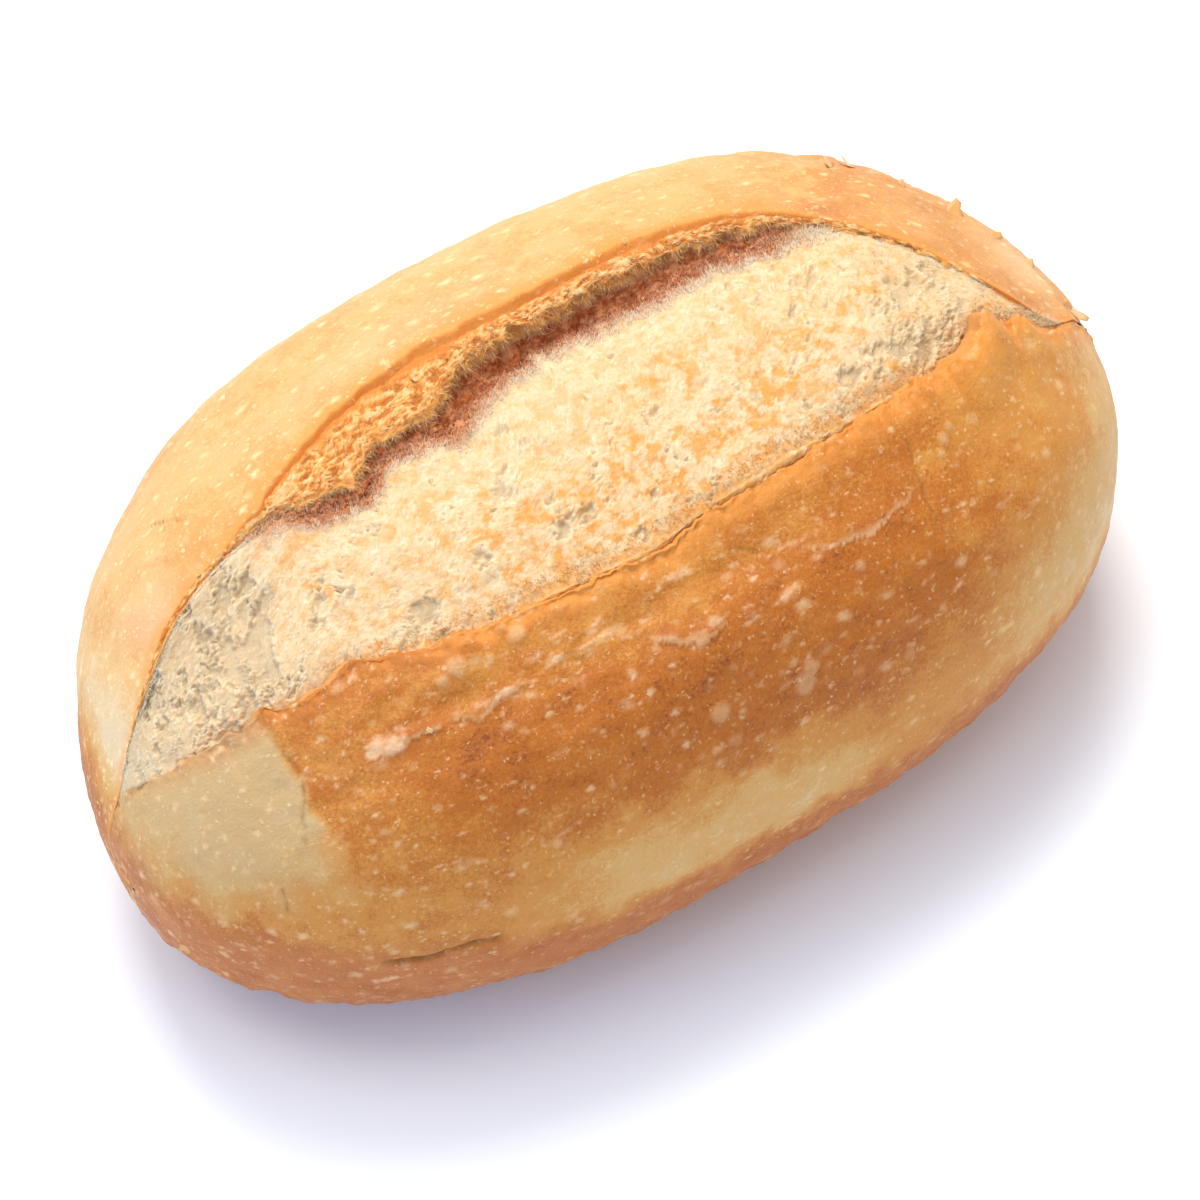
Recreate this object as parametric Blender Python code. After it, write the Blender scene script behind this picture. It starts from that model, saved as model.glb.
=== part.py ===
"""A crusty oval bread roll, burst open along one lengthwise slash.

One closed solid. +X runs along the roll, -Y is the side whose crust edge stays low and sharp, +Y the side
whose crust edge stands up as a torn lip, and +Z is up from the flat underside. The origin is under the
middle of the roll, on the surface it rests on. Lengths are metres, or millimetres where MM scales them.

The plain loaf is a stack of cross sections along X. Each section is a superellipse, and they all shrink to
a point at both tips. The opening replaces the top of every section, between the two crust edges, by the
crumb: the foot of the near edge, the risen bed, the cavity under the lip, and the torn lip itself.
"""

import bpy
import numpy as np

MM = 0.001

# The plain loaf
LENGTH = 120 * MM
NEAR_HALF_WIDTH = 36.3 * MM
FAR_HALF_WIDTH = 38.3 * MM
BELLY_HEIGHT = 19.7 * MM
CROWN_RISE = 29.5 * MM
UNDERSIDE_DEPTH = 23.6 * MM  # more than the belly height, so that the floor cuts the underside flat
UNDERSIDE_TAPER = 0.8
TIP_FULLNESS = (2.74, 2.60)  # how blunt the -X and +X tips are
TOP_SQUARENESS = 2.35
UNDER_SQUARENESS = 2.22
NEAR_SWELL = (-0.018, -0.043, 0.133)  # uneven width along the roll: its slant, bow and twist
FAR_SWELL = (-0.035, 0.049, 0.052)
TIP_DRIFT = (0.050, -0.060)  # how far the tips stray sideways, one to each side and both to one side

# The two crust edges seen from above, (x, y) in millimetres
NEAR_EDGE = ((-57.5, -1.7), (-54, -5.3), (-47, -8.9), (-40, -10.5), (-30, -13.7), (-14, -15.9), (2, -16.5),
             (19, -16.3), (31, -14.4), (36.5, -12.9), (42.5, -9.9), (49, -12.0), (57, -8.6))
FAR_EDGE = ((-57.5, -1.0), (-54.5, 1.3), (-46.5, 6.5), (-35.5, 9.6), (-26, 13.3), (-13, 16.0), (2, 15.7),
            (20, 15.0), (28, 13.0), (34, 9.3), (41, 2.8), (46, -4.4), (50, -9.6), (57, -8.2))

# Heights over the plain loaf, (x, height) in millimetres
NEAR_EDGE_RISE = ((-57, 0.1), (-48, 0.5), (-30, 0.9), (0, 1.0), (30, 0.9), (42.5, 1.8), (50, 0.8), (57, 0.2))
FAR_EDGE_RISE = ((-57, 0.1), (-46, 0.3), (-30, 0.8), (0, 1.2), (28, 0.8), (44, 0.4), (57, 0.5))
NEAR_FOOT = ((-57, -0.3), (-50, -2.2), (-42, -3.0), (-27, -1.9), (-10, -1.0), (18, -0.9), (30, -2.0),
             (41, -4.0), (47, -2.2), (52, -0.6), (57, -0.2))
BED_CROWN = ((-57, -0.3), (-48, -1.5), (-38, -1.3), (-24, -0.2), (0, 0.9), (22, 1.0), (36, 0.4), (44, -0.6),
             (52, -0.3), (57, -0.1))
CAVITY_DEPTH = ((-57, 0.3), (-48, 1.2), (-36, 1.6), (-26, 4.6), (-8, 5.6), (14, 5.4), (26, 3.6), (34, 1.6),
                (44, 0.9), (52, 0.4), (57, 0.2))

# Widths in the opening, (x, width) in millimetres
LIP_WIDTH = ((-57, 0.6), (-44, 0.8), (-36, 1.4), (-29, 6.2), (-21, 7.2), (-13, 6.8), (-6, 4.2), (2, 3.6),
             (12, 2.9), (24, 2.6), (32, 1.5), (39, 0.9), (57, 0.6))
CAVITY_MOUTH = ((-57, 0.5), (-36, 1.6), (-26, 2.2), (-13, 2.6), (-4, 3.8), (6, 5.0), (18, 5.4), (26, 4.4),
                (34, 2.4), (44, 1.0), (57, 0.5))

CRUST_EDGE_THICKNESS = 0.8  # millimetres
INNER_EDGE_DROP = 0.4  # of the near crust edge, from its outer to its inner corner, in millimetres
FOOT_DISTANCE = 1.3  # from the near crust edge to the crumb at its foot, in millimetres
EDGE_TURNS_UP_OVER = 0.25  # of each upper side, next to its crust edge
BED_FLATNESS = 2.4
NARROW_OPENING = 14.0  # below this width, in millimetres, everything in the opening shrinks with it
OPENING_ENDS = (56.5, 59.5)  # from the first to the second of these distances along X it fades away
TIP_EDGE_ANGLES = (np.pi / 2 + 0.65, np.pi / 2 - 0.65)
LEAST_OPENING_ANGLE = 0.10

# The lip and the cavity under it, read from the bed up to the far crust edge. Each point is (distance from
# the far crust edge in parts of the lip's width, further distance in parts of the cavity's mouth, height in
# parts of the cavity's depth, further millimetres up), all measured on the plain loaf.
LIP_PROFILE = (
    (1.00, 1.00, -0.22, 0.0),  # brow of the bed
    (1.00, 0.52, -0.62, 0.0),  # back slope of the bed
    (0.97, 0.10, -0.96, 0.0),  # floor of the cavity
    (0.64, 0.00, -1.00, 0.0),  # back of the floor
    (0.46, 0.00, -0.80, 0.0),  # torn wall
    (0.50, 0.00, -0.58, 0.0),  # torn wall, under the lip
    (0.78, 0.00, -0.46, 0.0),  # underside of the lip
    (0.96, 0.00, -0.33, 0.0),  # lower edge of the lip
    (1.02, 0.00, -0.16, -0.1),  # upper edge of the lip
    (0.72, 0.00, -0.07, -0.1),  # torn top of the lip
    (0.38, 0.00, -0.03, -0.2),  # torn top of the lip
    (0.14, 0.00, -0.02, -0.4),  # crease at the foot of the crust edge
)

# Low waves of the crust: ((x, y) of the middle, height, reach along X, reach across), in millimetres
CRUST_WAVES = (
    ((-6, -21.0), -0.7, 26, 3.4),  # valley below the near edge
    ((-10, -27.5), 0.7, 24, 4.0),  # fold below the valley
    ((-46, -17.0), -0.5, 7, 6.0),  # slack skin at the -X end
    ((36, -24.0), 0.5, 16, 9.0),
    ((30, 25.0), 0.5, 16, 6.0),
    ((-28, 24.0), -0.4, 18, 6.0),
    ((52, 10.0), -0.8, 8, 12.0),  # flatter far corner of the +X end
)

WAVES_START_OVER = 5 * MM  # above the belly

# The mesh
STATIONS = 72
SIDE_POINTS = 10  # on each upper side, from the belly to the crust edge
CLOSER_AT_EDGE = 1.3  # 1 spaces the side points evenly, more crowds them at the crust edge
UNDER_POINTS = 12
BED_POINTS = 13

CRUST_COLOUR = (0.56, 0.25, 0.07, 1)
CRUMB_COLOUR = (0.80, 0.63, 0.40, 1)


def along(points, x):
    """A smooth line through the points, read at every x: a cubic between neighbours, with mean slopes."""
    px, py = np.array(points, float).T
    slope = np.gradient(py, px)
    i = np.clip(np.searchsorted(px, x) - 1, 0, len(px) - 2)
    step = px[i + 1] - px[i]
    t = np.clip((x - px[i]) / step, 0, 1)
    from_values = (2 * t**3 - 3 * t**2 + 1) * py[i] + (3 * t**2 - 2 * t**3) * py[i + 1]
    from_slopes = (t**3 - 2 * t**2 + t) * slope[i] + (t**3 - t**2) * slope[i + 1]
    return from_values + step * from_slopes


def fade(value, start, end):
    """0 before start, 1 after end, and a smooth step between them."""
    t = np.clip((value - start) / (end - start), 0, 1)
    return t * t * (3 - 2 * t)


def signed_power(value, power):
    return np.sign(value) * np.abs(value) ** power


def swell(terms, s):
    slant, bow, twist = terms
    return 1 + slant * s + bow * (s * s - 0.33) + twist * s**3


def drift(s):
    return LENGTH / 2 * (TIP_DRIFT[0] * s**3 + TIP_DRIFT[1] * s**2)


def section(s):
    """Near width, far width, rise and depth of the section at s, which runs from -1 to 1 along X."""
    size = (1 - np.abs(s) ** np.where(s < 0, *TIP_FULLNESS)) ** 0.5
    near = NEAR_HALF_WIDTH * swell(NEAR_SWELL, s) * size
    far = FAR_HALF_WIDTH * swell(FAR_SWELL, s) * size
    return near, far, CROWN_RISE * size, UNDERSIDE_DEPTH * size**UNDERSIDE_TAPER


def loaf(s, angle):
    """(y, z) of the plain loaf. The angle is 0 at the far belly, pi/2 on top and pi at the near belly."""
    near, far, rise, depth = section(s)
    power = 2 / np.where(np.sin(angle) >= 0, TOP_SQUARENESS, UNDER_SQUARENESS)
    across = signed_power(np.cos(angle), power)
    up = signed_power(np.sin(angle), power)
    y = drift(s) + across * np.where(across >= 0, far, near)
    return y, BELLY_HEIGHT + up * np.where(up >= 0, rise, depth)


def angle_at(s, y):
    """The angle at which the top of the plain loaf has this y."""
    near, far, _, _ = section(s)
    across = (y - drift(s)) / np.where(y >= drift(s), far, near)
    return np.arccos(np.clip(signed_power(across, TOP_SQUARENESS / 2), -1, 1))


def raised(s, angle, height):
    """(y, z) of the plain loaf, moved outwards by a height in the plane of its section."""
    turn = 0.01
    y, z = loaf(s, angle)
    y0, z0 = loaf(s, angle - turn)
    y1, z1 = loaf(s, angle + turn)
    length = np.hypot(y1 - y0, z1 - z0)
    return y + height * (z1 - z0) / length, z - height * (y1 - y0) / length


def crust_waves(s, angle):
    """Height of the crust's low waves: a sum of round bumps and hollows, on the upper side alone."""
    y, z = loaf(s, angle)
    height = 0
    for (middle_x, middle_y), rise, reach_x, reach_y in CRUST_WAVES:
        off_x = (s * LENGTH / 2 / MM - middle_x) / reach_x
        off_y = (y / MM - middle_y) / reach_y
        height = height + rise * MM * np.exp(-(off_x**2) - off_y**2)
    return height * fade(z, BELLY_HEIGHT, BELLY_HEIGHT + WAVES_START_OVER)


def closed_part(s):
    """1 at the tips, where the opening has faded away, and 0 along the opening."""
    return fade(np.abs(s * LENGTH / 2 / MM), *OPENING_ENDS)


def crust_edges(s):
    """The angles of the near and the far crust edge at s."""
    x = s * LENGTH / 2 / MM
    tip = closed_part(s)
    near = angle_at(s, along(NEAR_EDGE, x) * MM)
    far = np.minimum(angle_at(s, along(FAR_EDGE, x) * MM), near - LEAST_OPENING_ANGLE)
    return near + (TIP_EDGE_ANGLES[0] - near) * tip, far + (TIP_EDGE_ANGLES[1] - far) * tip


def crust(s, near_angle, far_angle):
    """The crust of every section, from the far edge round the underside to the near edge."""
    x = s * LENGTH / 2 / MM
    from_edge = np.linspace(0, 1, SIDE_POINTS)[None] ** CLOSER_AT_EDGE
    turned_up = MM * (1 - fade(from_edge, 0, EDGE_TURNS_UP_OVER)) * (1 - closed_part(s))
    far_side = far_angle * (1 - from_edge)
    near_side = np.pi + (near_angle - np.pi) * (1 - from_edge[:, ::-1])
    under = np.linspace(0, -np.pi, UNDER_POINTS + 2)[None, 1:-1] + 0 * s
    far_rise = along(FAR_EDGE_RISE, x) * turned_up
    near_rise = along(NEAR_EDGE_RISE, x) * turned_up[:, ::-1]
    return [
        raised(s, far_side, far_rise + crust_waves(s, far_side)),
        loaf(s, under),
        raised(s, near_side, near_rise + crust_waves(s, near_side)),
    ]


def opening(s, near_angle, far_angle):
    """The crumb of every section, from the near crust edge over the bed and the cavity to the far edge."""
    x = s * LENGTH / 2 / MM
    near_y, near_z = loaf(s, near_angle)
    far_y, far_z = loaf(s, far_angle)
    width = np.hypot(far_y - near_y, far_z - near_z) / MM
    shrink = np.clip(width / NARROW_OPENING, 0, 1)
    depth = along(CAVITY_DEPTH, x) * shrink
    foot = along(NEAR_FOOT, x) * shrink

    part, extra, lift, extra_lift = np.array(LIP_PROFILE).T[:, None]
    lip_distance = shrink * (part * along(LIP_WIDTH, x) + extra * along(CAVITY_MOUTH, x))
    lip_height = lift * depth + extra_lift * shrink

    edge_distance = np.array([[CRUST_EDGE_THICKNESS, FOOT_DISTANCE]]) * shrink
    edge_height = np.hstack([along(NEAR_EDGE_RISE, x) - INNER_EDGE_DROP * shrink, foot])

    t = np.linspace(0, 1, BED_POINTS + 2)[None, 1:-1]
    bed_distance = edge_distance[:, 1:] + t * (width - lip_distance[:, :1] - edge_distance[:, 1:])
    crown = along(BED_CROWN, x) * shrink
    side = np.where(t < 0.5, foot, lip_height[:, :1])
    bed_height = crown + (side - crown) * np.abs(2 * t - 1) ** BED_FLATNESS

    distance = np.hstack([edge_distance, bed_distance, width - lip_distance])
    height = np.hstack([edge_height, bed_height, lip_height]) * MM * (1 - closed_part(s))
    return raised(s, near_angle + (far_angle - near_angle) * distance / width, height)


def roll_points():
    """The rings of points round the roll, one for each station, and its two tips."""
    s = -np.cos(np.linspace(0, np.pi, STATIONS + 2))[1:-1, None]
    edges = crust_edges(s)
    parts = crust(s, *edges) + [opening(s, *edges)]
    y = np.hstack([part[0] for part in parts])
    z = np.maximum(np.hstack([part[1] for part in parts]), 0)
    rings = np.stack([s * LENGTH / 2 + 0 * y, y, z], axis=-1)
    ends = np.array([-1.0, 1.0])
    tips = np.stack([ends * LENGTH / 2, drift(ends), BELLY_HEIGHT + 0 * ends], axis=-1)
    middle = (rings.min(axis=(0, 1)) + rings.max(axis=(0, 1))) / 2 * (0, 1, 0)
    return rings - middle, tips - middle


def roll_faces(rings, points):
    """Quads between neighbouring rings, and a fan of triangles round each tip, all facing outwards."""
    ring = np.arange(points)
    following = np.roll(ring, -1)
    faces = []
    for i in range(rings - 1):
        low, high = i * points, (i + 1) * points
        faces += np.stack([low + ring, high + ring, high + following, low + following], axis=-1).tolist()
    last, first_tip = (rings - 1) * points, rings * points
    faces += np.stack([first_tip + 0 * ring, ring, following], axis=-1).tolist()
    faces += np.stack([first_tip + 1 + 0 * ring, last + following, last + ring], axis=-1).tolist()
    return faces


def baked_material(name, colour, roughness):
    material = bpy.data.materials.new(name)
    material.use_nodes = True
    surface = material.node_tree.nodes["Principled BSDF"]
    surface.inputs["Base Color"].default_value = colour
    surface.inputs["Roughness"].default_value = roughness
    surface.inputs["Metallic"].default_value = 0
    return material


def make_roll():
    rings, tips = roll_points()
    count, points = rings.shape[:2]
    mesh = bpy.data.meshes.new("bread_roll")
    mesh.from_pydata(np.vstack([rings.reshape(-1, 3), tips]).tolist(), [], roll_faces(count, points))
    mesh.materials.append(baked_material("crust", CRUST_COLOUR, 0.55))
    mesh.materials.append(baked_material("crumb", CRUMB_COLOUR, 0.85))
    crust_points = 2 * SIDE_POINTS + UNDER_POINTS
    crumb = np.zeros(len(mesh.polygons), np.int32)
    crumb[: (count - 1) * points] = np.tile(np.arange(points) >= crust_points, count - 1)
    mesh.polygons.foreach_set("material_index", crumb)
    mesh.shade_smooth()
    roll = bpy.data.objects.new("bread_roll", mesh)
    bpy.context.scene.collection.objects.link(roll)
    return roll


for leftover in list(bpy.data.objects):
    bpy.data.objects.remove(leftover)
make_roll()
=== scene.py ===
"""Looks of a crusty oval bread roll that has burst open along one lengthwise slash.

Closed pieces stand for the one baked solid: the near crust, the far crust, the crumb that rose through the
slash, the torn lip over the cavity, and the loose flakes and fibres of the tear. All of them are sheets
worked out over the same loaf: a stack of cross sections along X, which shrink to a point at both tips.

+X runs along the roll, -Y is the side whose crust edge stays low, +Y the side whose edge is a torn lip, and
+Z is up. Everything is worked out in millimetres of a roll 120 long, and MM turns them into metres.
"""

import bpy
import numpy as np
from mathutils import Matrix, Vector


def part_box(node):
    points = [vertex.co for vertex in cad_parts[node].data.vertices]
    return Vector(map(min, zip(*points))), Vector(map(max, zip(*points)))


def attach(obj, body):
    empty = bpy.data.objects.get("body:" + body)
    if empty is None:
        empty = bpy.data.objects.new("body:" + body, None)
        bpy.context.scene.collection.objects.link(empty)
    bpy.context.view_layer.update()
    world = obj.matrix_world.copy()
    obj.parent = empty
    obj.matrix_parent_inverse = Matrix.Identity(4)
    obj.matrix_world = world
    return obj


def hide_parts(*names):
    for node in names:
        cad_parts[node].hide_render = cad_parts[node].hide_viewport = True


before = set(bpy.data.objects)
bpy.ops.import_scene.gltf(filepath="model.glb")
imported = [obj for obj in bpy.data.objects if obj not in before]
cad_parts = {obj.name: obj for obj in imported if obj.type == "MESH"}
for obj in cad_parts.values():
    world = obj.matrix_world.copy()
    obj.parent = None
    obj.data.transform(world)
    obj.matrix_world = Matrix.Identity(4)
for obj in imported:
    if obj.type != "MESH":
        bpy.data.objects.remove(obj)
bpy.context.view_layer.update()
LOW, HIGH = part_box("bread_roll")
HALF_LENGTH = 60.0
MM = (HIGH.x - LOW.x) / (2 * HALF_LENGTH)


# ------------------------------------------------------------------------------------------------
# The form of the loaf, as its source has it
# ------------------------------------------------------------------------------------------------

NEAR_HALF_WIDTH = 36.3
FAR_HALF_WIDTH = 38.3
BELLY_HEIGHT = 19.7
CROWN_RISE = 29.5
UNDERSIDE_DEPTH = 23.6
UNDERSIDE_TAPER = 0.8
TIP_FULLNESS = (2.74, 2.60)
TOP_SQUARENESS = 2.35
UNDER_SQUARENESS = 2.22
NEAR_SWELL = (-0.018, -0.043, 0.133)
FAR_SWELL = (-0.035, 0.049, 0.052)
TIP_DRIFT = (0.050, -0.060)

# Lines along the roll: (x, y) of both crust edges, and (x, height or width) of what lies between them. The
# near edge and the lip follow the tear more closely here than in the source
NEAR_EDGE = ((-57.5, -1.7), (-54, -5.3), (-49, -7.8), (-45, -9.0), (-42.5, -10.2), (-37, -11.0), (-33, -12.2),
             (-30, -13.6), (-26, -15.0), (-18, -16.3), (-9, -17.3), (-4, -17.7), (1, -17.1), (9, -16.5),
             (18, -15.9), (26.5, -15.0), (33, -13.8), (37, -12.9), (42.5, -10.2), (49, -12.0), (57, -8.6))
FAR_EDGE = ((-57.5, -1.0), (-54.5, 1.3), (-46.5, 6.5), (-35.5, 9.6), (-26, 13.3), (-13, 16.0), (2, 15.7),
            (20, 15.0), (28, 13.0), (34, 9.3), (41, 2.8), (46, -4.4), (50, -9.6), (57, -8.2))
NEAR_EDGE_RISE = ((-57, 0.1), (-48, 0.5), (-30, 0.9), (0, 1.0), (30, 0.9), (42.5, 1.8), (50, 0.8), (57, 0.2))
FAR_EDGE_RISE = ((-57, 0.1), (-46, 0.3), (-30, 0.8), (0, 1.2), (28, 0.8), (44, 0.4), (57, 0.5))
NEAR_FOOT = ((-57, -0.3), (-50, -2.2), (-42, -3.0), (-27, -1.9), (-10, -1.0), (18, -0.9), (30, -2.0),
             (41, -4.0), (47, -2.2), (52, -0.6), (57, -0.2))
BED_CROWN = ((-57, -0.3), (-48, -1.5), (-38, -1.3), (-24, -0.2), (0, 0.9), (22, 1.0), (36, 0.4), (44, -0.6),
             (52, -0.3), (57, -0.1))
CAVITY_DEPTH = ((-57, 0.3), (-48, 1.2), (-36, 1.6), (-26, 4.6), (-8, 5.6), (14, 5.4), (26, 3.6), (34, 1.6),
                (44, 0.9), (52, 0.4), (57, 0.2))
LIP_WIDTH = ((-57, 0.6), (-44, 0.8), (-36, 1.3), (-33, 2.2), (-30, 5.0), (-27, 7.4), (-23.5, 8.3), (-19, 7.8),
             (-14.5, 8.3), (-11, 7.1), (-7.4, 5.0), (-3, 3.8), (4, 3.5), (12, 3.3), (18, 3.3), (24, 2.7),
             (32, 1.5), (39, 0.9), (57, 0.6))
CAVITY_MOUTH = ((-57, 0.5), (-36, 1.4), (-27, 1.9), (-22, 1.6), (-16, 2.4), (-12, 4.4), (-8, 5.0), (-4, 5.4),
                (0, 4.8), (6, 5.0), (12, 5.4), (18, 4.8), (26, 4.2), (34, 2.4), (44, 1.0), (57, 0.5))
EDGE_TURNS_UP_OVER = 0.25  # of each upper side, next to its crust edge
FOOT_DISTANCE = 1.3  # from the near edge to the foot of the bed
BED_FLATNESS = 2.4  # power by which the bed falls from its crown to both sides
NARROW_OPENING = 14.0  # where the opening is narrower than this, all in it shrinks in proportion
CRACK_CLOSES = (56.5, 59.0)  # from the first to the second of these distances along X

# The section of the opening from the brow of the bed up to the crease at the far crust edge: distance from
# that edge in parts of the lip's width and in parts of the cavity's mouth, height in parts of the cavity's
# depth, and further height
LIP_PROFILE = (
    (1.00, 1.00, -0.22, 0.0),  # brow of the bed
    (1.00, 0.70, -0.66, 0.0),  # back slope of the bed
    (1.00, 0.44, -0.98, 0.0),  # floor of the cavity
    (1.00, 0.28, -1.00, 0.0),  # back of the floor
    (0.98, 0.18, -0.86, 0.0),  # foot of the torn wall
    (0.96, 0.10, -0.68, 0.0),  # torn wall
    (0.94, 0.05, -0.50, 0.0),  # top of the torn wall
    (0.94, 0.00, -0.30, 0.0),  # lower edge of the lip
    (0.88, 0.00, -0.10, -0.1),  # upper edge of the lip
    (0.68, 0.00, -0.06, -0.1),  # torn top of the lip
    (0.38, 0.00, -0.03, -0.2),  # torn top of the lip
    (0.14, 0.00, -0.02, -0.4),  # crease at the foot of the crust edge
)
FLOOR, FLOOR_BACK, LIP_TOP = 2, 3, 8  # rows of LIP_PROFILE

# Low waves of the crust: ((x, y) of the middle, height, reach along X, reach across)
CRUST_WAVES = (
    ((-6, -21.0), -0.7, 26, 3.4),  # valley below the near edge
    ((-10, -27.5), 0.7, 24, 4.0),  # fold below the valley
    ((-46, -17.0), -0.5, 7, 6.0),  # slack skin at the -X end
    ((36, -24.0), 0.5, 16, 9.0),
    ((30, 25.0), 0.5, 16, 6.0),
    ((-28, 24.0), -0.4, 18, 6.0),
    ((52, 10.0), -0.8, 8, 12.0),  # flatter far corner of the +X end
)


def fade(value, start, end):
    """0 at start, 1 at end, and a smooth step between them; start may be the larger of the two."""
    t = np.clip((value - start) / (end - start), 0, 1)
    return t * t * (3 - 2 * t)


def towards(value, target, amount):
    """The value moved towards the target, all the way where the amount is 1."""
    return value + (target - value) * amount


def along(points, x):
    """A smooth line through the points, read at every x: a cubic between neighbours, with mean slopes."""
    px, py = np.array(points, float).T
    slope = np.gradient(py, px)
    i = np.clip(np.searchsorted(px, x) - 1, 0, len(px) - 2)
    step = px[i + 1] - px[i]
    t = np.clip((x - px[i]) / step, 0, 1)
    from_values = (2 * t**3 - 3 * t**2 + 1) * py[i] + (3 * t**2 - 2 * t**3) * py[i + 1]
    from_slopes = (t**3 - 2 * t**2 + t) * slope[i] + (t**3 - t**2) * slope[i + 1]
    return from_values + step * from_slopes


def signed_power(value, power):
    return np.sign(value) * np.abs(value) ** power


def swell(terms, s):
    """How full one side is at s, in parts of an even loaf."""
    slant, bow, twist = terms
    return 1 + slant * s + bow * (s * s - 0.33) + twist * s**3


def drift(s):
    """How far the middle of the section at s lies from the X axis."""
    return HALF_LENGTH * (TIP_DRIFT[0] * s**3 + TIP_DRIFT[1] * s**2)


def section(s):
    """Near width, far width, rise and depth of the section at s, which runs from -1 to 1 along X."""
    size = (1 - np.abs(s) ** np.where(s < 0, *TIP_FULLNESS)) ** 0.5
    near = NEAR_HALF_WIDTH * swell(NEAR_SWELL, s) * size
    far = FAR_HALF_WIDTH * swell(FAR_SWELL, s) * size
    return near, far, CROWN_RISE * size, UNDERSIDE_DEPTH * size**UNDERSIDE_TAPER


def loaf(s, angle):
    """(y, z) of the plain loaf, a superellipse. The angle is 0 at the far belly, pi/2 on top and pi at the
    near belly."""
    near, far, rise, depth = section(s)
    power = 2 / np.where(np.sin(angle) >= 0, TOP_SQUARENESS, UNDER_SQUARENESS)
    across = signed_power(np.cos(angle), power)
    up = signed_power(np.sin(angle), power)
    y = drift(s) + across * np.where(across >= 0, far, near)
    return y, BELLY_HEIGHT + up * np.where(up >= 0, rise, depth)


def angle_at(s, y):
    """The angle at which the top of the plain loaf has this y."""
    near, far, _, _ = section(s)
    across = (y - drift(s)) / np.where(y >= drift(s), far, near)
    return np.arccos(np.clip(signed_power(across, TOP_SQUARENESS / 2), -1, 1))


def raised(s, angle, height):
    """(y, z) of the plain loaf, moved outwards by a height in the plane of its section."""
    turn = 0.01
    y, z = loaf(s, angle)
    y0, z0 = loaf(s, angle - turn)
    y1, z1 = loaf(s, angle + turn)
    length = np.hypot(y1 - y0, z1 - z0)
    return y + height * (z1 - z0) / length, z - height * (y1 - y0) / length


def crust_waves(s, angle):
    """Height of the crust's low waves: a sum of round bumps and hollows, on the upper side alone."""
    y, z = loaf(s, angle)
    height = 0
    for (middle_x, middle_y), rise, reach_x, reach_y in CRUST_WAVES:
        off_x = (s * HALF_LENGTH - middle_x) / reach_x
        off_y = (y - middle_y) / reach_y
        height = height + rise * np.exp(-(off_x**2) - off_y**2)
    return height * fade(z, BELLY_HEIGHT, BELLY_HEIGHT + 5)


def crust_edges(s):
    """The angles of the near and the far crust edge at s. Past the opening they close to one crack."""
    x = s * HALF_LENGTH
    near = angle_at(s, along(NEAR_EDGE, x))
    far = angle_at(s, along(FAR_EDGE, x))
    closed = fade(np.abs(x), *CRACK_CLOSES)
    middle = (near + far) / 2
    half_gap = np.maximum((near - far) / 2, 0.02) * (1 - closed)
    return middle + half_gap, middle - half_gap


def evenly_placed(count):
    """Stations from -1 to 1 along X, at equal steps round the outline seen from above."""
    s = -np.cos(np.linspace(0, np.pi, 4001))
    width = section(s)[0]
    length = np.concatenate([[0], np.cumsum(np.hypot(np.diff(s * HALF_LENGTH), np.diff(width)))])
    return np.interp(np.linspace(0, length[-1], count + 2), length, s)[1:-1, None]


def sideways_shift():
    """How far the source moves the loaf along Y, to centre it in its box."""
    s = evenly_placed(400)
    widest = (loaf(s, 0 * s)[0].max() + loaf(s, np.pi + 0 * s)[0].min()) / 2
    return (LOW.y + HIGH.y) / (2 * MM) - widest


SHIFT = sideways_shift()


def in_place(s, y, z):
    """Points (x, y, z) in millimetres of a surface given by its sections."""
    return np.stack([s * HALF_LENGTH + 0 * y, y + SHIFT, z], axis=-1)


def on_axis(x):
    """Points on the X axis, for fields that change along the roll alone."""
    return np.stack([x, 0 * x, 0 * x], axis=-1)


def open_between_tips(x):
    """1 along the opening, and 0 where only a crack is left of it."""
    return 1 - fade(np.abs(x), CRACK_CLOSES[0] - 3, CRACK_CLOSES[0])


# ------------------------------------------------------------------------------------------------
# Irregularity: repeatable random fields over points in millimetres
# ------------------------------------------------------------------------------------------------


def drawn(cell, salt):
    """A repeatable random number from 0 to 1 for each whole-number cell (..., 3): an integer hash."""
    h = cell[..., 0] * 374761393 + cell[..., 1] * 668265263 + cell[..., 2] * 362437 + salt * 9176723
    h = h & 0xFFFFFFFF
    h = ((h ^ (h >> 13)) * 1274126177) & 0xFFFFFFFF
    h = ((h ^ (h >> 16)) * 668265263) & 0xFFFFFFFF
    return (h ^ (h >> 15)) / 4294967295


def noise(p, size, salt=0):
    """Smooth random field from about -1 to 1 that changes over a distance of size: at each corner of a cubic
    lattice stands a random slope, and the eight slopes round a point are blended by smooth steps."""
    q = p / size
    cell = np.floor(q).astype(np.int64)
    t = q - cell
    blend = t * t * t * (t * (6 * t - 15) + 10)
    total = 0
    for corner in np.ndindex(2, 2, 2):
        at = cell + corner
        slope = np.stack([drawn(at, salt + k) for k in (101, 202, 303)], axis=-1) * 2 - 1
        weight = np.where(corner, blend, 1 - blend).prod(axis=-1)
        total = total + weight * (slope * (t - corner)).sum(axis=-1)
    return total * 1.6


def rough(p, size, octaves=4, gain=0.5, salt=0):
    """Fields of halving size and falling strength, added up."""
    return sum(gain**i * noise(p, size * 0.5**i, salt + 17 * i) for i in range(octaves))


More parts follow.
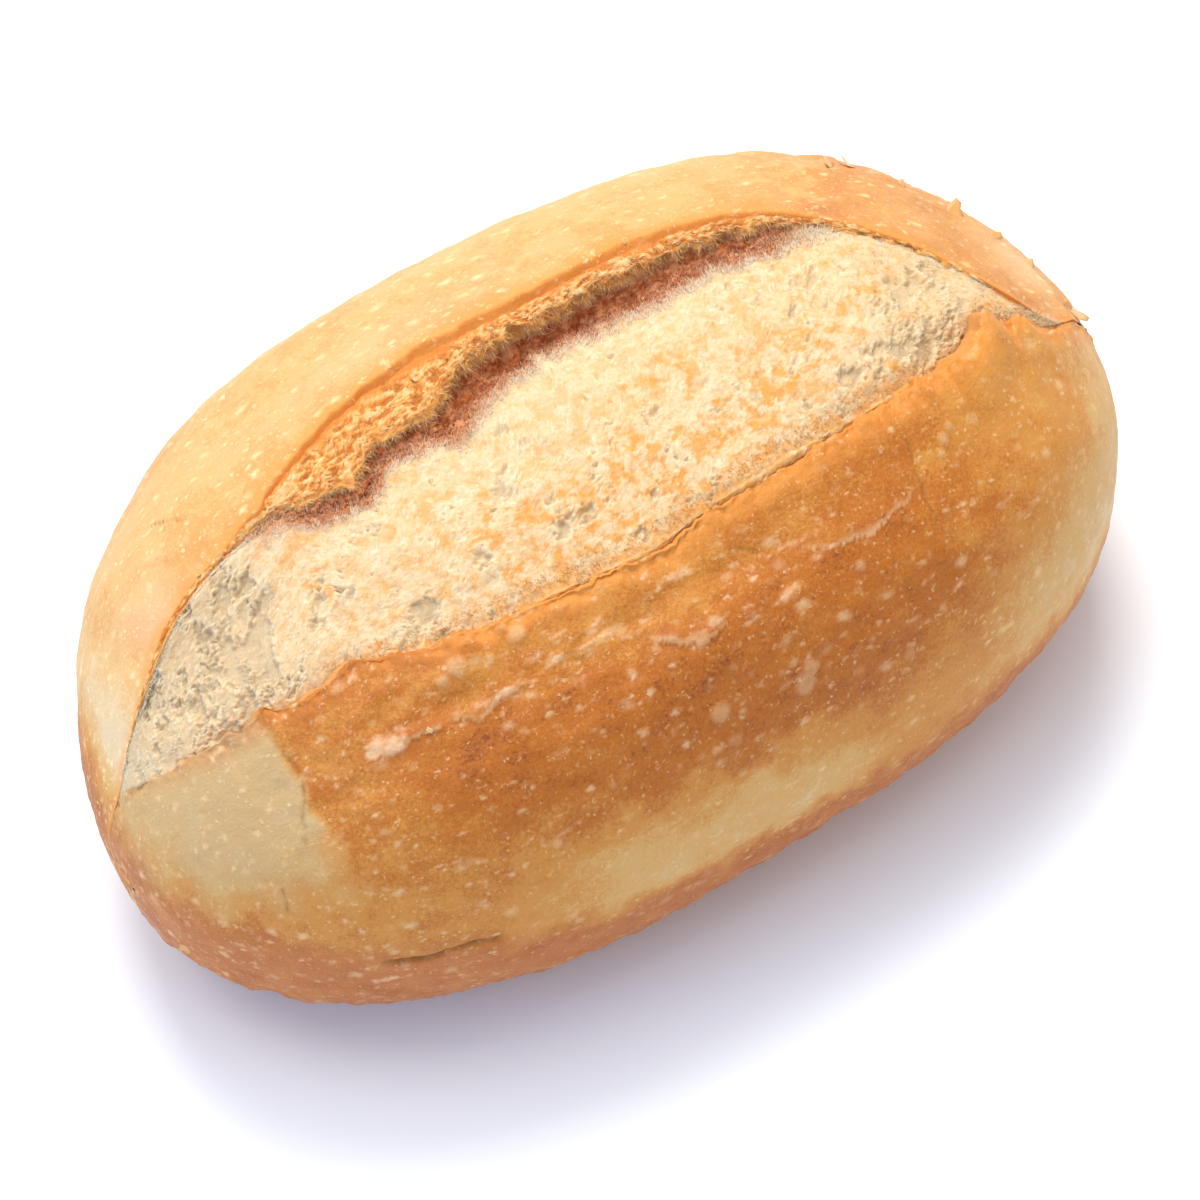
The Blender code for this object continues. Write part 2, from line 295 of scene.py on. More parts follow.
def balls_round(p, spacing, radii, chance, salt, margin, skew):
    """Balls scattered in space, one at most in each cell of a cubic lattice. Each stands at a random place,
    off the walls of its cell by the margin, and the skew makes small balls the commoner. Gives, for each of
    the 27 cells round every point, the radius, whether a ball is there, and the distance from its middle."""
    q = p / spacing
    cell = np.floor(q).astype(np.int64)
    for step in np.ndindex(3, 3, 3):
        at = cell + step - 1
        place = np.stack([drawn(at, salt + k) for k in (11, 22, 33)], axis=-1)
        centre = at + margin + (1 - 2 * margin) * place
        radius = radii[0] + (radii[1] - radii[0]) * drawn(at, salt + 44) ** skew
        distance = np.sqrt(((q - centre) ** 2).sum(axis=-1)) * spacing
        yield radius, drawn(at, salt + 55) < chance, distance


def bowls(p, spacing, radii, chance, salt=0):
    """Bowls left by bubbles: the depth of the deepest bubble wall under each point, and how close the point
    is to the rim of a bubble, from 0 to 1."""
    depth, rim = 0, 0
    for radius, there, distance in balls_round(p, spacing, radii, chance, salt, 0.15, 2.2):
        depth = np.maximum(depth, there * np.sqrt(np.maximum(radius**2 - distance**2, 0)))
        rim = np.maximum(rim, there * np.exp(-(((distance - radius) / (0.12 + 0.12 * radius)) ** 2)))
    return depth, rim


def blisters(p, spacing, radii, chance, salt=0):
    """Round bumps: 1 in the middle of a bump and 0 outside it, and the radius of the bump at each point."""
    height, size = 0 * p[..., 0], 0 * p[..., 0]
    for radius, there, distance in balls_round(p, spacing, radii, chance, salt, 0.2, 2.5):
        bump = there * (1 - fade(distance / radius, 0.25, 1))
        size = np.where(bump > height, radius, size)
        height = np.maximum(height, bump)
    return height, size


def stretched(p, direction, factor):
    """The points squeezed along a direction, so that a field read there comes out longer by the factor."""
    d = np.array(direction, float) / np.linalg.norm(direction)
    return p + (1 / factor - 1) * (p @ d)[..., None] * d


def shaken(p, size, amount, salt):
    """The points moved at random, so that outlines found there come out ragged."""
    return p + amount * np.stack([noise(p, size, salt + k) for k in (0, 5, 9)], axis=-1)


def from_line(p, points):
    """Distance of each point from a bent line in space, and how far along the line the nearest place is,
    from 0 to 1."""
    points = np.array(points, float)
    lengths = np.linalg.norm(np.diff(points, axis=0), axis=-1)
    run = np.concatenate([[0], np.cumsum(lengths)]) / lengths.sum()
    nearest, progress = np.full(p.shape[:-1], np.inf), np.zeros(p.shape[:-1])
    for i, (a, b) in enumerate(zip(points[:-1], points[1:])):
        t = np.clip(((p - a) @ (b - a)) / lengths[i] ** 2, 0, 1)
        distance = np.linalg.norm(p - a - t[..., None] * (b - a), axis=-1)
        closer = distance < nearest
        nearest = np.where(closer, distance, nearest)
        progress = np.where(closer, run[i] + t * (run[i + 1] - run[i]), progress)
    return nearest, progress


def patch(p, middle, reach):
    """1 in the middle of a soft patch and 0 far away: a Gaussian of the distance in parts of the reach."""
    return np.exp(-((((p - np.array(middle, float)) / np.array(reach, float)) ** 2).sum(axis=-1)))


def most(*masks):
    """The largest of several masks at each point, from 0 to 1."""
    return np.clip(np.maximum.reduce(masks), 0, 1)


# ------------------------------------------------------------------------------------------------
# From rings of points to meshes
# ------------------------------------------------------------------------------------------------


def outward(p):
    """Unit normals of a sheet p (stations, columns, 3): the cross product of its two directions."""
    normal = np.cross(np.gradient(p, axis=0), np.gradient(p, axis=1))
    return normal / np.maximum(np.linalg.norm(normal, axis=-1, keepdims=True), 1e-9)


def distance_from(p, column):
    """Distance of each point from a column of its sheet, along its ring and in millimetres."""
    steps = np.linalg.norm(np.diff(p, axis=1), axis=-1)
    run = np.concatenate([np.zeros((len(p), 1)), np.cumsum(steps, axis=1)], axis=1)
    return np.abs(run - run[:, column:column + 1])


def places_in(counts):
    """Where each point of a row lies between its control points, for the count of points in each span."""
    return np.concatenate([i + np.arange(n) / n for i, n in enumerate(counts)] + [[len(counts)]])


def through(controls, counts):
    """Rows of control points (stations, controls, 3) joined by smooth lines: a cubic with mean slopes in each
    span, with the given count of points in each span and the last control at the end."""
    u = places_in(counts)
    i = np.minimum(u.astype(int), len(counts) - 1)
    t = (u - i)[None, :, None]
    slope = np.gradient(controls, axis=1)
    a, b, slope_a, slope_b = controls[:, i], controls[:, i + 1], slope[:, i], slope[:, i + 1]
    values = (2 * t**3 - 3 * t**2 + 1) * a + (3 * t**2 - 2 * t**3) * b
    return values + (t**3 - 2 * t**2 + t) * slope_a + (t**3 - t**2) * slope_b


def ring_faces(rings, points):
    """Quads between neighbouring closed rings, and a fan of triangles at each end round a further point."""
    ring = np.arange(points)
    following = np.roll(ring, -1)
    low = np.arange(rings - 1)[:, None] * points
    quads = np.stack([low + ring, low + points + ring, low + points + following, low + following], axis=-1)
    last, pole = (rings - 1) * points, rings * points
    first_fan = np.stack([pole + 0 * ring, ring, following], axis=-1)
    last_fan = np.stack([pole + 1 + 0 * ring, last + following, last + ring], axis=-1)
    return quads.reshape(-1, 4), np.vstack([first_fan, last_fan])


def add_piece(name, points, quads, triangles, material, slot, fields=None, uv=None):
    """A smooth-shaded mesh from points in millimetres, riding on the roll and standing for its solid."""
    mesh = bpy.data.meshes.new(name)
    mesh.vertices.add(len(points))
    mesh.vertices.foreach_set("co", (points * MM).astype(np.float32).ravel())
    corners = np.concatenate([quads.ravel(), triangles.ravel()])
    starts = np.concatenate([np.arange(len(quads)) * 4, len(quads) * 4 + np.arange(len(triangles)) * 3])
    mesh.loops.add(len(corners))
    mesh.loops.foreach_set("vertex_index", corners.astype(np.int32))
    mesh.polygons.add(len(starts))
    mesh.polygons.foreach_set("loop_start", starts.astype(np.int32))
    for field, values in (fields or {}).items():
        attribute = mesh.attributes.new(field, "FLOAT", "POINT")
        attribute.data.foreach_set("value", values.astype(np.float32).ravel())
    if uv is not None:
        layer = mesh.uv_layers.new(name="OFBake")
        layer.uv.foreach_set("vector", uv[corners].astype(np.float32).ravel())
    mesh.update(calc_edges=True)
    mesh.validate()
    mesh.shade_smooth()
    mesh.materials.append(material)
    piece = bpy.data.objects.new(name, mesh)
    bpy.context.scene.collection.objects.link(piece)
    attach(piece, "root")
    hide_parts("bread_roll")
    return piece


def add_sheet(name, shown, hidden, material, slot, fields):
    """A closed piece: a shown sheet of points (stations, columns, 3), closed behind by hidden columns, and at
    both ends by a point. Its map follows the grid, with the hidden columns at the far side."""
    rings = np.concatenate([shown, hidden], axis=1)
    count, columns = rings.shape[:2]
    ends = np.stack([rings[0].mean(axis=0), rings[-1].mean(axis=0)])
    quads, fans = ring_faces(count, columns)
    every = {}
    for field, values in fields.items():
        behind = np.repeat(values[:, -1:], hidden.shape[1], axis=1)
        values = np.concatenate([values, behind], axis=1)
        every[field] = np.concatenate([values.ravel(), [values[0].mean(), values[-1].mean()]])
    u = np.linspace(0, 1, count)[:, None] + np.zeros(columns)
    v = np.linspace(0, 1, columns)[None] + np.zeros((count, 1))
    uv = np.vstack([np.stack([u, v], axis=-1).reshape(-1, 2), [[0, 0.5], [1, 0.5]]])
    points = np.vstack([rings.reshape(-1, 3), ends])
    return add_piece(name, points, quads, fans, material, slot, every, uv)


# ------------------------------------------------------------------------------------------------
# The near crust
# ------------------------------------------------------------------------------------------------

ALONG_VIEW = (0.83, -0.56, 0)  # the way the crust's flecks are drawn out
SIDE_ARC = 33.0  # millimetres of loaf for one radian, near the top
NEAR_STATIONS = 560
NEAR_COLUMNS = (9, 150)  # under the roll, and up its side to the crust edge
BASE_TURNS_IN = np.pi + 0.95  # the angle at which the near side meets the table
CENTRE_PART = 0.62  # how far out the hidden backs of the pieces lie, from the middle of each section
HIDDEN_BEGINS = 0.25  # radians from a crust edge down to the beginning of the hidden back

# (distance from the near crust edge towards the crumb, height over that edge), down to the hidden foot
NEAR_EDGE_PROFILE = ((0.12, 0.02), (0.24, -0.06), (0.36, -0.24), (0.5, -0.55), (0.7, -1.0), (1.1, -1.8),
                     (1.7, -2.9), (2.4, -4.3))

# Teeth of the near crust edge: (x, how far out towards the crumb it stands, its reach along X, how far up)
EDGE_TEETH = ((38.6, -0.7, 1.6, 0.0), (41.9, 0.7, 0.9, 0.9), (43.9, -1.7, 0.75, -0.3), (46.6, 1.9, 1.1, 0.5),
              (52.5, 1.0, 3.0, 0.0), (33.2, -0.6, 0.8, 0.0), (30.2, 0.7, 0.8, 0.2), (-44.6, 0.7, 0.6, 0.2),
              (-38.2, -0.5, 0.9, 0.0), (-35.4, 0.7, 0.8, 0.3), (-52.6, 0.5, 0.7, 0.2), (-25.5, 0.5, 1.2, 0.3))

NEAR_CRACKS = (  # (places along the crack, its width, its depth)
    (((-45.3, -12.9, 40.8), (-45.1, -13.8, 40.3), (-44.6, -16.2, 39.4), (-46.2, -18.6, 37),
      (-47.9, -21.4, 34.4)), 0.17, 0.16),
    (((25.9, -18.0, 45.9), (25.8, -19.0, 45.5), (24.7, -22.6, 43.7), (24.1, -25.4, 42), (24.3, -27.9, 40)),
     0.17, 0.14),
    (((-44.8, -29.1, 21.8), (-41.2, -31.0, 22.1), (-36.5, -32.9, 23.2), (-32.0, -34.3, 22.9)), 0.3, 0.9),
    (((-50.8, -21.2, 31.2), (-50.7, -22.0, 30), (-51.2, -23.0, 28.4)), 0.15, 0.1),
    (((2.6, -20.8, 45.9), (4.4, -21.6, 45.5), (6.0, -23.6, 44.6)), 0.1, 0.12),
)
PEELED_SKIN = (  # (places along the torn edge of a skin layer, how thick it is, how far it is lifted back)
    (((3.5, -19.3, 46.4), (5.7, -20.6, 46.1), (9, -24, 44.3), (12.1, -25.2, 43.4), (17, -25.6, 42.7),
      (21.5, -24.9, 42.7), (24.6, -23.6, 43.1)), 0.09, 3.0),
    (((-38.9, -18.2, 42), (-37.1, -19.8, 41.6), (-34.5, -20.6, 42.6), (-31, -20.9, 43.2)), 0.2, 2.2),
    (((-30.5, -21, 43.4), (-27.7, -22.3, 43), (-25, -21.6, 43.9), (-21.5, -22.2, 44.2)), 0.2, 2.0),
    (((-19.5, -21.4, 45.2), (-16, -22.6, 45.0), (-12.6, -22.9, 45.0)), 0.14, 1.8),
    (((-9.2, -24.2, 44.2), (-6.4, -26.0, 43.3), (-3.4, -27.2, 42.6), (-1.2, -26.2, 43.1)), 0.26, 2.4),
    (((-45.2, -14.6, 40.1), (-44.7, -17.5, 38.4), (-47.2, -21, 34.6), (-47, -24, 31)), 0.1, 2.5),
)
NEAR_BLISTERS = (  # (middle, radius, height)
    ((-20.6, -18.0, 46.9), 1.05, 0.34), ((-27.4, -17.6, 46.1), 1.35, 0.3), ((-29.3, -17.9, 45.6), 0.8, 0.18),
    ((-24.2, -18.6, 46), 0.7, 0.16), ((3.8, -33.0, 36.1), 1.5, 0.26), ((4.9, -32.2, 37.2), 1.1, 0.2),
    ((-5.9, -32.0, 37.8), 1.3, 0.22), ((29.4, -20.7, 43.8), 0.8, 0.2), ((30.6, -19.8, 44), 0.6, 0.16),
    ((28.4, -21.9, 43.3), 0.6, 0.14), ((-12.5, -26.4, 43.4), 0.8, 0.2), ((14.2, -27.6, 41.8), 0.7, 0.2),
    ((-38.5, -27.5, 33.4), 0.9, 0.2), ((-26, -33, 33), 0.8, 0.16), ((36, -26, 39), 0.7, 0.18),
)


def teeth_along(x, teeth):
    """How far the teeth of an edge stand out and up at x: each is a bell-shaped bump along X."""
    bells = [(out, up, np.exp(-(((x - middle) / reach) ** 2))) for middle, out, reach, up in teeth]
    return sum(out * bell for out, _, bell in bells), sum(up * bell for _, up, bell in bells)


def cracks_in(p, cracks):
    """Depth of fine cracks under each point, and a mask that is 1 in them. Each is a groove along a bent line
    that wavers a little and closes at both ends."""
    depth, mask = 0, 0
    wavering = shaken(p, 1.1, 0.22, 61)
    for places, width, deep in cracks:
        distance, run = from_line(wavering, places)
        open_part = fade(run, 0, 0.12) * fade(run, 1, 0.8)
        groove = np.exp(-((distance / width) ** 2)) * open_part
        depth = np.maximum(depth, deep * groove)
        mask = np.maximum(mask, groove)
    return depth, mask


def peeled(p, layers, side):
    """Height and mask of skin layers that stand off at a torn edge: full thickness at the edge, then running
    out gently behind it. side is the direction from the torn edge back into the layer."""
    height, mask = 0, 0
    jagged = shaken(p, 1.2, 0.4, 71)
    for places, thick, back in layers:
        places = np.array(places, float)
        distance, run = from_line(jagged, places)
        spots = np.linspace(0, 1, len(places))
        nearest = np.stack([np.interp(run, spots, places[:, k]) for k in range(3)], axis=-1)
        behind = ((jagged - nearest) @ np.array(side, float)) > 0
        ends = fade(run, 0, 0.1) * fade(run, 1, 0.9)
        layer = behind * (1 - fade(distance, 0.1 * back, back)) * ends
        height = height + thick * layer
        mask = np.maximum(mask, layer * fade(distance, 0.35 * back, 0))
    return height, mask


# Lines along the roll: (x, height over the table)
FOOT_TOP = ((-60, 25.5), (-50, 26), (-42, 25), (-33, 23), (-23, 21.4), (-12, 20.4), (1, 19), (14, 19),
            (24, 20), (40, 19), (60, 17))
BAND_MIDDLE = ((-60, 30), (-45, 30), (-30, 29.5), (-20, 28), (-12, 27), (1, 25), (14, 23.5), (25, 22.5),
               (60, 22))

SCUFFS_AND_SHEEN = (  # (middle, reach) of pinkish patches along the fold: skin that has come off, painted lighter as a sheen where the fold catches the light
    ((-37.5, -19.6, 41.8), (5.0, 1.0, 2.5)), ((-27.5, -21.6, 43.5), (4.5, 1.1, 2.5)),
    ((-19.5, -20.6, 45.4), (5.5, 0.9, 2.5)), ((-13.5, -22.4, 45.2), (3.5, 1.1, 2.5)),
    ((-8, -20.8, 46), (4.5, 0.9, 2.5)), ((-35.5, -18.2, 42.8), (4.0, 0.6, 2.5)),
    ((-2.4, -26.6, 43.0), (3.0, 0.9, 2)),
)


def scuffs_and_sheen_mask(p):
    """Mask of the scuff marks and their painted sheen, with ragged outlines drawn out along the fold."""
    places = sum(patch(p, middle, reach) for middle, reach in SCUFFS_AND_SHEEN)
    drawn_out = shaken(stretched(p, (1, 0, 0), 3.0), 0.9, 0.3, 85)
    return fade(0.75 * places + 0.75 * rough(drawn_out, 1.3, 4, gain=0.6, salt=84), 0.5, 1.1)


def round_blisters(p, bumps):
    """Height and mask of single blisters, flat-topped domes at chosen places."""
    height, mask = 0, 0
    for middle, radius, rise in bumps:
        distance = np.linalg.norm(p - np.array(middle, float), axis=-1) / radius
        wobble = 1 + 0.22 * noise(p, radius, 81)
        dome = 1 - fade(distance * wobble, 0.45, 1.05)
        height = np.maximum(height, rise * dome)
        mask = np.maximum(mask, dome)
    return height, mask


def near_crust_sheet():
    """The near side from under the roll up to its crust edge, over the edge and down behind it, and the
    hidden points that close it from behind."""
    s = evenly_placed(NEAR_STATIONS)
    x = s * HALF_LENGTH
    near, far = crust_edges(s)
    open_part = open_between_tips(x)
    axis = on_axis(x)
    ragged = 0.42 * noise(axis, 5.3, 5) + 0.36 * noise(axis, 1.9, 6) + 0.26 * noise(axis, 0.8, 7)
    out, up = teeth_along(x, EDGE_TEETH)
    near = near - (ragged + out) * open_part / SIDE_ARC
    shrink = np.clip((near - far) * SIDE_ARC / NARROW_OPENING, 0, 1)

    under = np.linspace(3 * np.pi / 2, BASE_TURNS_IN, NEAR_COLUMNS[0] + 1)[None, :-1] + 0 * s
    step = np.linspace(1, 0, NEAR_COLUMNS[1])[None]
    side = near + (BASE_TURNS_IN - near) * (0.65 * step + 0.35 * step**2)
    from_edge = np.clip((side - near) / np.maximum(np.pi - near, 0.05), 0, 1)
    turned_up = (1 - fade(from_edge, 0, EDGE_TURNS_UP_OVER)) * open_part
    rise = along(NEAR_EDGE_RISE, x) + 0.25 * noise(axis, 3.1, 8) + 0.22 * noise(axis, 1.1, 9) + up
    inwards, below = np.array(NEAR_EDGE_PROFILE).T[:, None]
    inner_angle = near - inwards * shrink / SIDE_ARC
    inner_height = rise * open_part + below * shrink

    angle = np.hstack([under, side, inner_angle])
    height = np.hstack([0 * under, rise * turned_up + crust_waves(s, side), inner_height])
    y, z = raised(s, angle, height)
    p = in_place(s, y, np.maximum(z, 0))
    begin = near + HIDDEN_BEGINS
    hidden_angle = begin + np.linspace(0, 1, 4)[None] * (3 * np.pi / 2 - begin)
    return p, in_place(s, *towards_middle(s, hidden_angle))


def towards_middle(s, angle):
    """(y, z) of the hidden back of a piece: the loaf shrunk towards the middle of each section."""
    y, z = loaf(s, angle)
    return towards(drift(s), y, CENTRE_PART), towards(BELLY_HEIGHT, np.maximum(z, 0), CENTRE_PART)


def skin_relief(p):
    """Height of the fine unevenness of any crust: slack wide waves, wrinkles along the roll and grain."""
    drawn_out = stretched(p, (1, 0, 0), 2.2)
    return (0.26 * rough(p, 13, 3, salt=21) + 0.075 * rough(drawn_out, 2.6, 3, salt=22)
            + 0.03 * noise(drawn_out, 0.7, 23))


def near_relief(p, down):
    """Height of the near crust's unevenness, and masks of its blisters and loose skin, of scuffs with a
    painted sheen, and of cracks.
    """
    x = p[..., 0]
    flat = shaken(stretched(p, ALONG_VIEW, 1.5), 0.9, 0.3, 35)
    small, small_size = blisters(flat, 1.7, (0.2, 0.6), 0.5, 31)
    big, big_size = blisters(flat, 4.2, (0.55, 1.1), 0.34, 32)
    round_height, round_mask = round_blisters(p, NEAR_BLISTERS)
    crack_depth, crack_mask = cracks_in(p, NEAR_CRACKS)
    skin_height, skin_mask = peeled(p, PEELED_SKIN, (0, 0.75, 0.66))
    scuffs_and_sheen = scuffs_and_sheen_mask(p)
    folds = fade(x, 12, -6) * fade(x, -50, -40) * fade(down, 2, 4) * fade(down, 15, 9)
    wrinkled = 0.5 - np.abs(rough(stretched(p, (1, -0.12, 0), 4.5), 4.2, 3, salt=37))
    height = (skin_relief(p) + 0.09 * small * small_size + 0.1 * big * big_size + round_height + skin_height
              - crack_depth + 0.07 * scuffs_and_sheen + 0.5 * folds * wrinkled)
    height = height + 0.3 * fade(p[..., 2], 20, 12) * rough(p, 2.8, 3, salt=39)
    pale = most(0.6 * small, 0.34 * big, 0.5 * round_mask, 0.8 * skin_mask)
    return height, pale, scuffs_and_sheen, crack_mask


def add_near_crust(material):
    """The near side of the loaf with its relief, and the fields that its material reads."""
    p, hidden = near_crust_sheet()
    edge_column = NEAR_COLUMNS[0] + NEAR_COLUMNS[1] - 1
    down = distance_from(p, edge_column)
    inside = np.arange(p.shape[1])[None] > edge_column
    height, pale, scuffs_and_sheen, cracks = near_relief(p, down)
    torn = fade(down, 1.8, 0) * (0.3 * noise(p, 1.3, 33) + 0.26 * noise(p, 0.6, 34))
    height = (height * fade(down, 0, 2.5) + torn) * fade(p[..., 2], 0.3, 3)
    p = p + outward(p) * height[..., None]
    p[..., 2] = np.maximum(p[..., 2], 0)

    x = p[..., 0]
    edge_width = 2.2 + 1.2 * fade(x, -14, 0)
    fields = {
        "bake": near_bake(p, down),
        "rosy": near_rosy(p),
        "pale": pale,
        "scuffs_and_sheen": scuffs_and_sheen,
        "sallow": 0.72 * slack_patch(p),
        "crack": cracks * (0.55 + 0.4 * fade(p[..., 2], 26, 24)),
        "edge": (fade(down + 0.9 * noise(p, 1.9, 36), edge_width, 0.3)
                 * (1 - 0.75 * fade(x, -22, -34)) * (1 - 0.2 * fade(x, -20, 0))),
        "inside": inside * fade(down, 1.0, 2.2),
    }
    add_sheet("near_crust", p, hidden, material, "crust", fields)
    return p


def slack_patch(p):
    """Mask of the slack, barely baked skin at the -X end. It ends at the crack, softly further down, and at a
    slanting line over the foot."""
    x, z = p[..., 0], p[..., 2]
    lower = 29.7 + 0.45 * (x + 57.2) - 1.6 * rough(p, 4, 3, salt=40)
    soft = 0.5 + 4.5 * fade(z, 38, 31)
    beside_crack = fade(x + 0.8 * noise(p, 2.5, 38), soft - 45.4, -45.4 - soft)
    return beside_crack * fade(z, lower - 6, lower + 3)


def ragged_foot(p):
    """Height over the table at which the baked foot ends, up and down with a ragged line."""
    return along(FOOT_TOP, p[..., 0]) + 1.6 * rough(p, 5, 4, gain=0.6, salt=45)


def near_bake(p, down):
    """How brown the near crust is, from 0, barely coloured, to 1: dark along the middle of the side, tan in
    the valley under the edge, pale at the -X end and in a band over the base, lighter at the +X end."""
    x, z = p[..., 0], p[..., 2]
    side = (0.83 - 0.45 * fade(x, 12, 45) + 0.16 * fade(x, 16, 36) * fade(z, 28, 38)
            - 0.2 * fade(x, 0, 22) * fade(z, 36, 25) - 0.16 * fade(x, -32, -48))
    valley = 0.66 + 0.04 * fade(x, -8, 12) + 0.04 * fade(x, -18, -34)
    bake = towards(side, valley, fade(down, 9.5, 5.5) * fade(x, 24, 8))
    bake = towards(bake, 0.7, fade(x, -30, -48))
    bake = towards(bake, 0.26 + 0.1 * rough(p, 2.2, 3, salt=48), slack_patch(p))
    foot = ragged_foot(p)
    middle = along(BAND_MIDDLE, x) + foot - along(FOOT_TOP, x)
    band = fade(z, middle + 9.5, middle - 1.0) * fade(x, 22, 0)
    bake = towards(bake, 0.16, band * (0.15 + 0.72 * fade(x, -42, -12)))
    bake = towards(bake, 0.77 + 0.12 * rough(p, 3, 3, salt=47), fade(z, foot + 2.6, foot - 3.6))
    bake = towards(bake, 0.84, fade(down, 2.6, 0.8) * fade(x, -14, -26) * fade(x, -56, -50))
    bake = towards(bake, tip_bake(p), fade(x, 51, 57.5))
    return bake + 0.05 * rough(p, 9, 3, salt=41) + 0.08 * rough(stretched(p, (1, 0, 0), 2), 2.4, 3, salt=42)


def tip_bake(p):
    """How brown both crusts are at the tips, where they meet below the crack: golden, with a baked foot."""
    foot = ragged_foot(p)
    return 0.46 + 0.31 * fade(p[..., 2], foot + 2.6, foot - 3.6)


def at_far_tips(p):
    """Mask of the far crust at the +X tip and low down at the -X tip, next to the near crust."""
    x, z = p[..., 0], p[..., 2]
    return np.maximum(fade(x, 53.5, 58), fade(x, -50, -57) * fade(z, 31, 26))


def near_rosy(p):
    """Where the near crust turns pinkish: its foot."""
    foot = ragged_foot(p)
    return 0.75 * fade(p[..., 2], foot + 1, foot - 5)


# ------------------------------------------------------------------------------------------------
# The far crust
# ------------------------------------------------------------------------------------------------

FAR_STATIONS = 470
FAR_COLUMNS = (116, 9)  # down the side from the crust edge, and under the roll
FAR_TURNS_IN = -0.95  # the angle at which the far side meets the table

# (distance from the far crust edge towards the crumb, height over that edge), from the hidden foot upwards
FAR_EDGE_PROFILE = ((1.6, -2.6), (0.9, -1.7), (0.55, -1.0), (0.4, -0.55), (0.3, -0.25), (0.15, -0.05))

FAR_TEETH = ((54.6, 0.5, 0.9, 1.0), (47.5, 0.5, 1.2, 0.2), (39.5, 0.4, 1.0, 0.2), (-41.0, 0.6, 1.0, 0.0),
             (-47.5, -0.4, 1.2, 0.0), (-33.5, 0.5, 1.0, 0.1))

FAR_SKIN_EDGE = (((26.5, 11.6, 48.6), (29.8, 13.6, 47), (34.2, 15.4, 44.7), (38.8, 16.8, 41.8),
                  (42.5, 18.4, 38.6), (44, 21, 34), (43, 25, 26)), 0.2, 2.5)
FAR_CRACKS = (
    (((-41.5, 18.9, 38.0), (-39.4, 15.9, 40.9), (-36.9, 12.2, 43.4), (-36.6, 8.6, 44.6)), 0.14, 0.16),
    (((-56.4, -2.4, 31.5), (-57.3, -3.2, 29), (-57.9, -3.6, 27)), 0.25, 0.4),
)
FAR_SKIN = (
    FAR_SKIN_EDGE,
    (((-44, 14.6, 38.2), (-41, 13.2, 40.4), (-38.2, 11.4, 42.6), (-37.2, 9.4, 44)), 0.14, 3.5),
    (((-50.8, 8.2, 34.6), (-48.6, 10.3, 36.2), (-46, 12.6, 37.4)), 0.1, 2.5),
)
FAR_BLISTERS = (
    ((-30.6, 20.2, 41.2), 1.0, 0.16), ((-33.5, 22.4, 38.6), 0.8, 0.14), ((-19, 24.5, 41.5), 0.8, 0.12),
    ((52.0, 2.0, 33), 0.8, 0.3), ((44.5, 16.5, 33.5), 0.9, 0.4), ((33.5, 26, 32.5), 0.9, 0.35),
)


def far_crust_sheet():
    """The far side from the hidden foot of its edge over the edge and down to the middle of the underside,
    and the hidden points that close it from behind."""
    s = evenly_placed(FAR_STATIONS)
    x = s * HALF_LENGTH
    near, far = crust_edges(s)
    open_part = open_between_tips(x)
    ragged = 0.3 * noise(on_axis(x), 4.1, 15) + 0.2 * noise(on_axis(x), 1.4, 16)
    out, up = teeth_along(x, FAR_TEETH)
    far = far + (ragged + out) * open_part / SIDE_ARC
    shrink = np.clip((near - far) * SIDE_ARC / NARROW_OPENING, 0, 1)

    step = np.linspace(0, 1, FAR_COLUMNS[0])[None]
    side = far + (FAR_TURNS_IN - far) * (0.72 * step + 0.28 * step**2)
    under = np.linspace(FAR_TURNS_IN, -np.pi / 2, FAR_COLUMNS[1] + 1)[None, 1:] + 0 * s
    from_edge = np.clip((far - side) / np.maximum(far, 0.05), 0, 1)
    turned_up = (1 - fade(from_edge, 0, EDGE_TURNS_UP_OVER)) * open_part
    rise = along(FAR_EDGE_RISE, x) + 0.12 * noise(on_axis(x), 2.7, 18) + up
    inwards, below = np.array(FAR_EDGE_PROFILE).T[:, None]
    inner_angle = far + inwards * shrink / SIDE_ARC
    inner_height = rise * open_part + below * shrink

    angle = np.hstack([inner_angle, side, under])
    height = np.hstack([inner_height, rise * turned_up + crust_waves(s, side), 0 * under])
    y, z = raised(s, angle, height)
    p = in_place(s, y, np.maximum(z, 0))
    hidden_angle = -np.pi / 2 + np.linspace(0, 1, 4)[None] * (far - HIDDEN_BEGINS + np.pi / 2)
    return p, in_place(s, *towards_middle(s, hidden_angle))


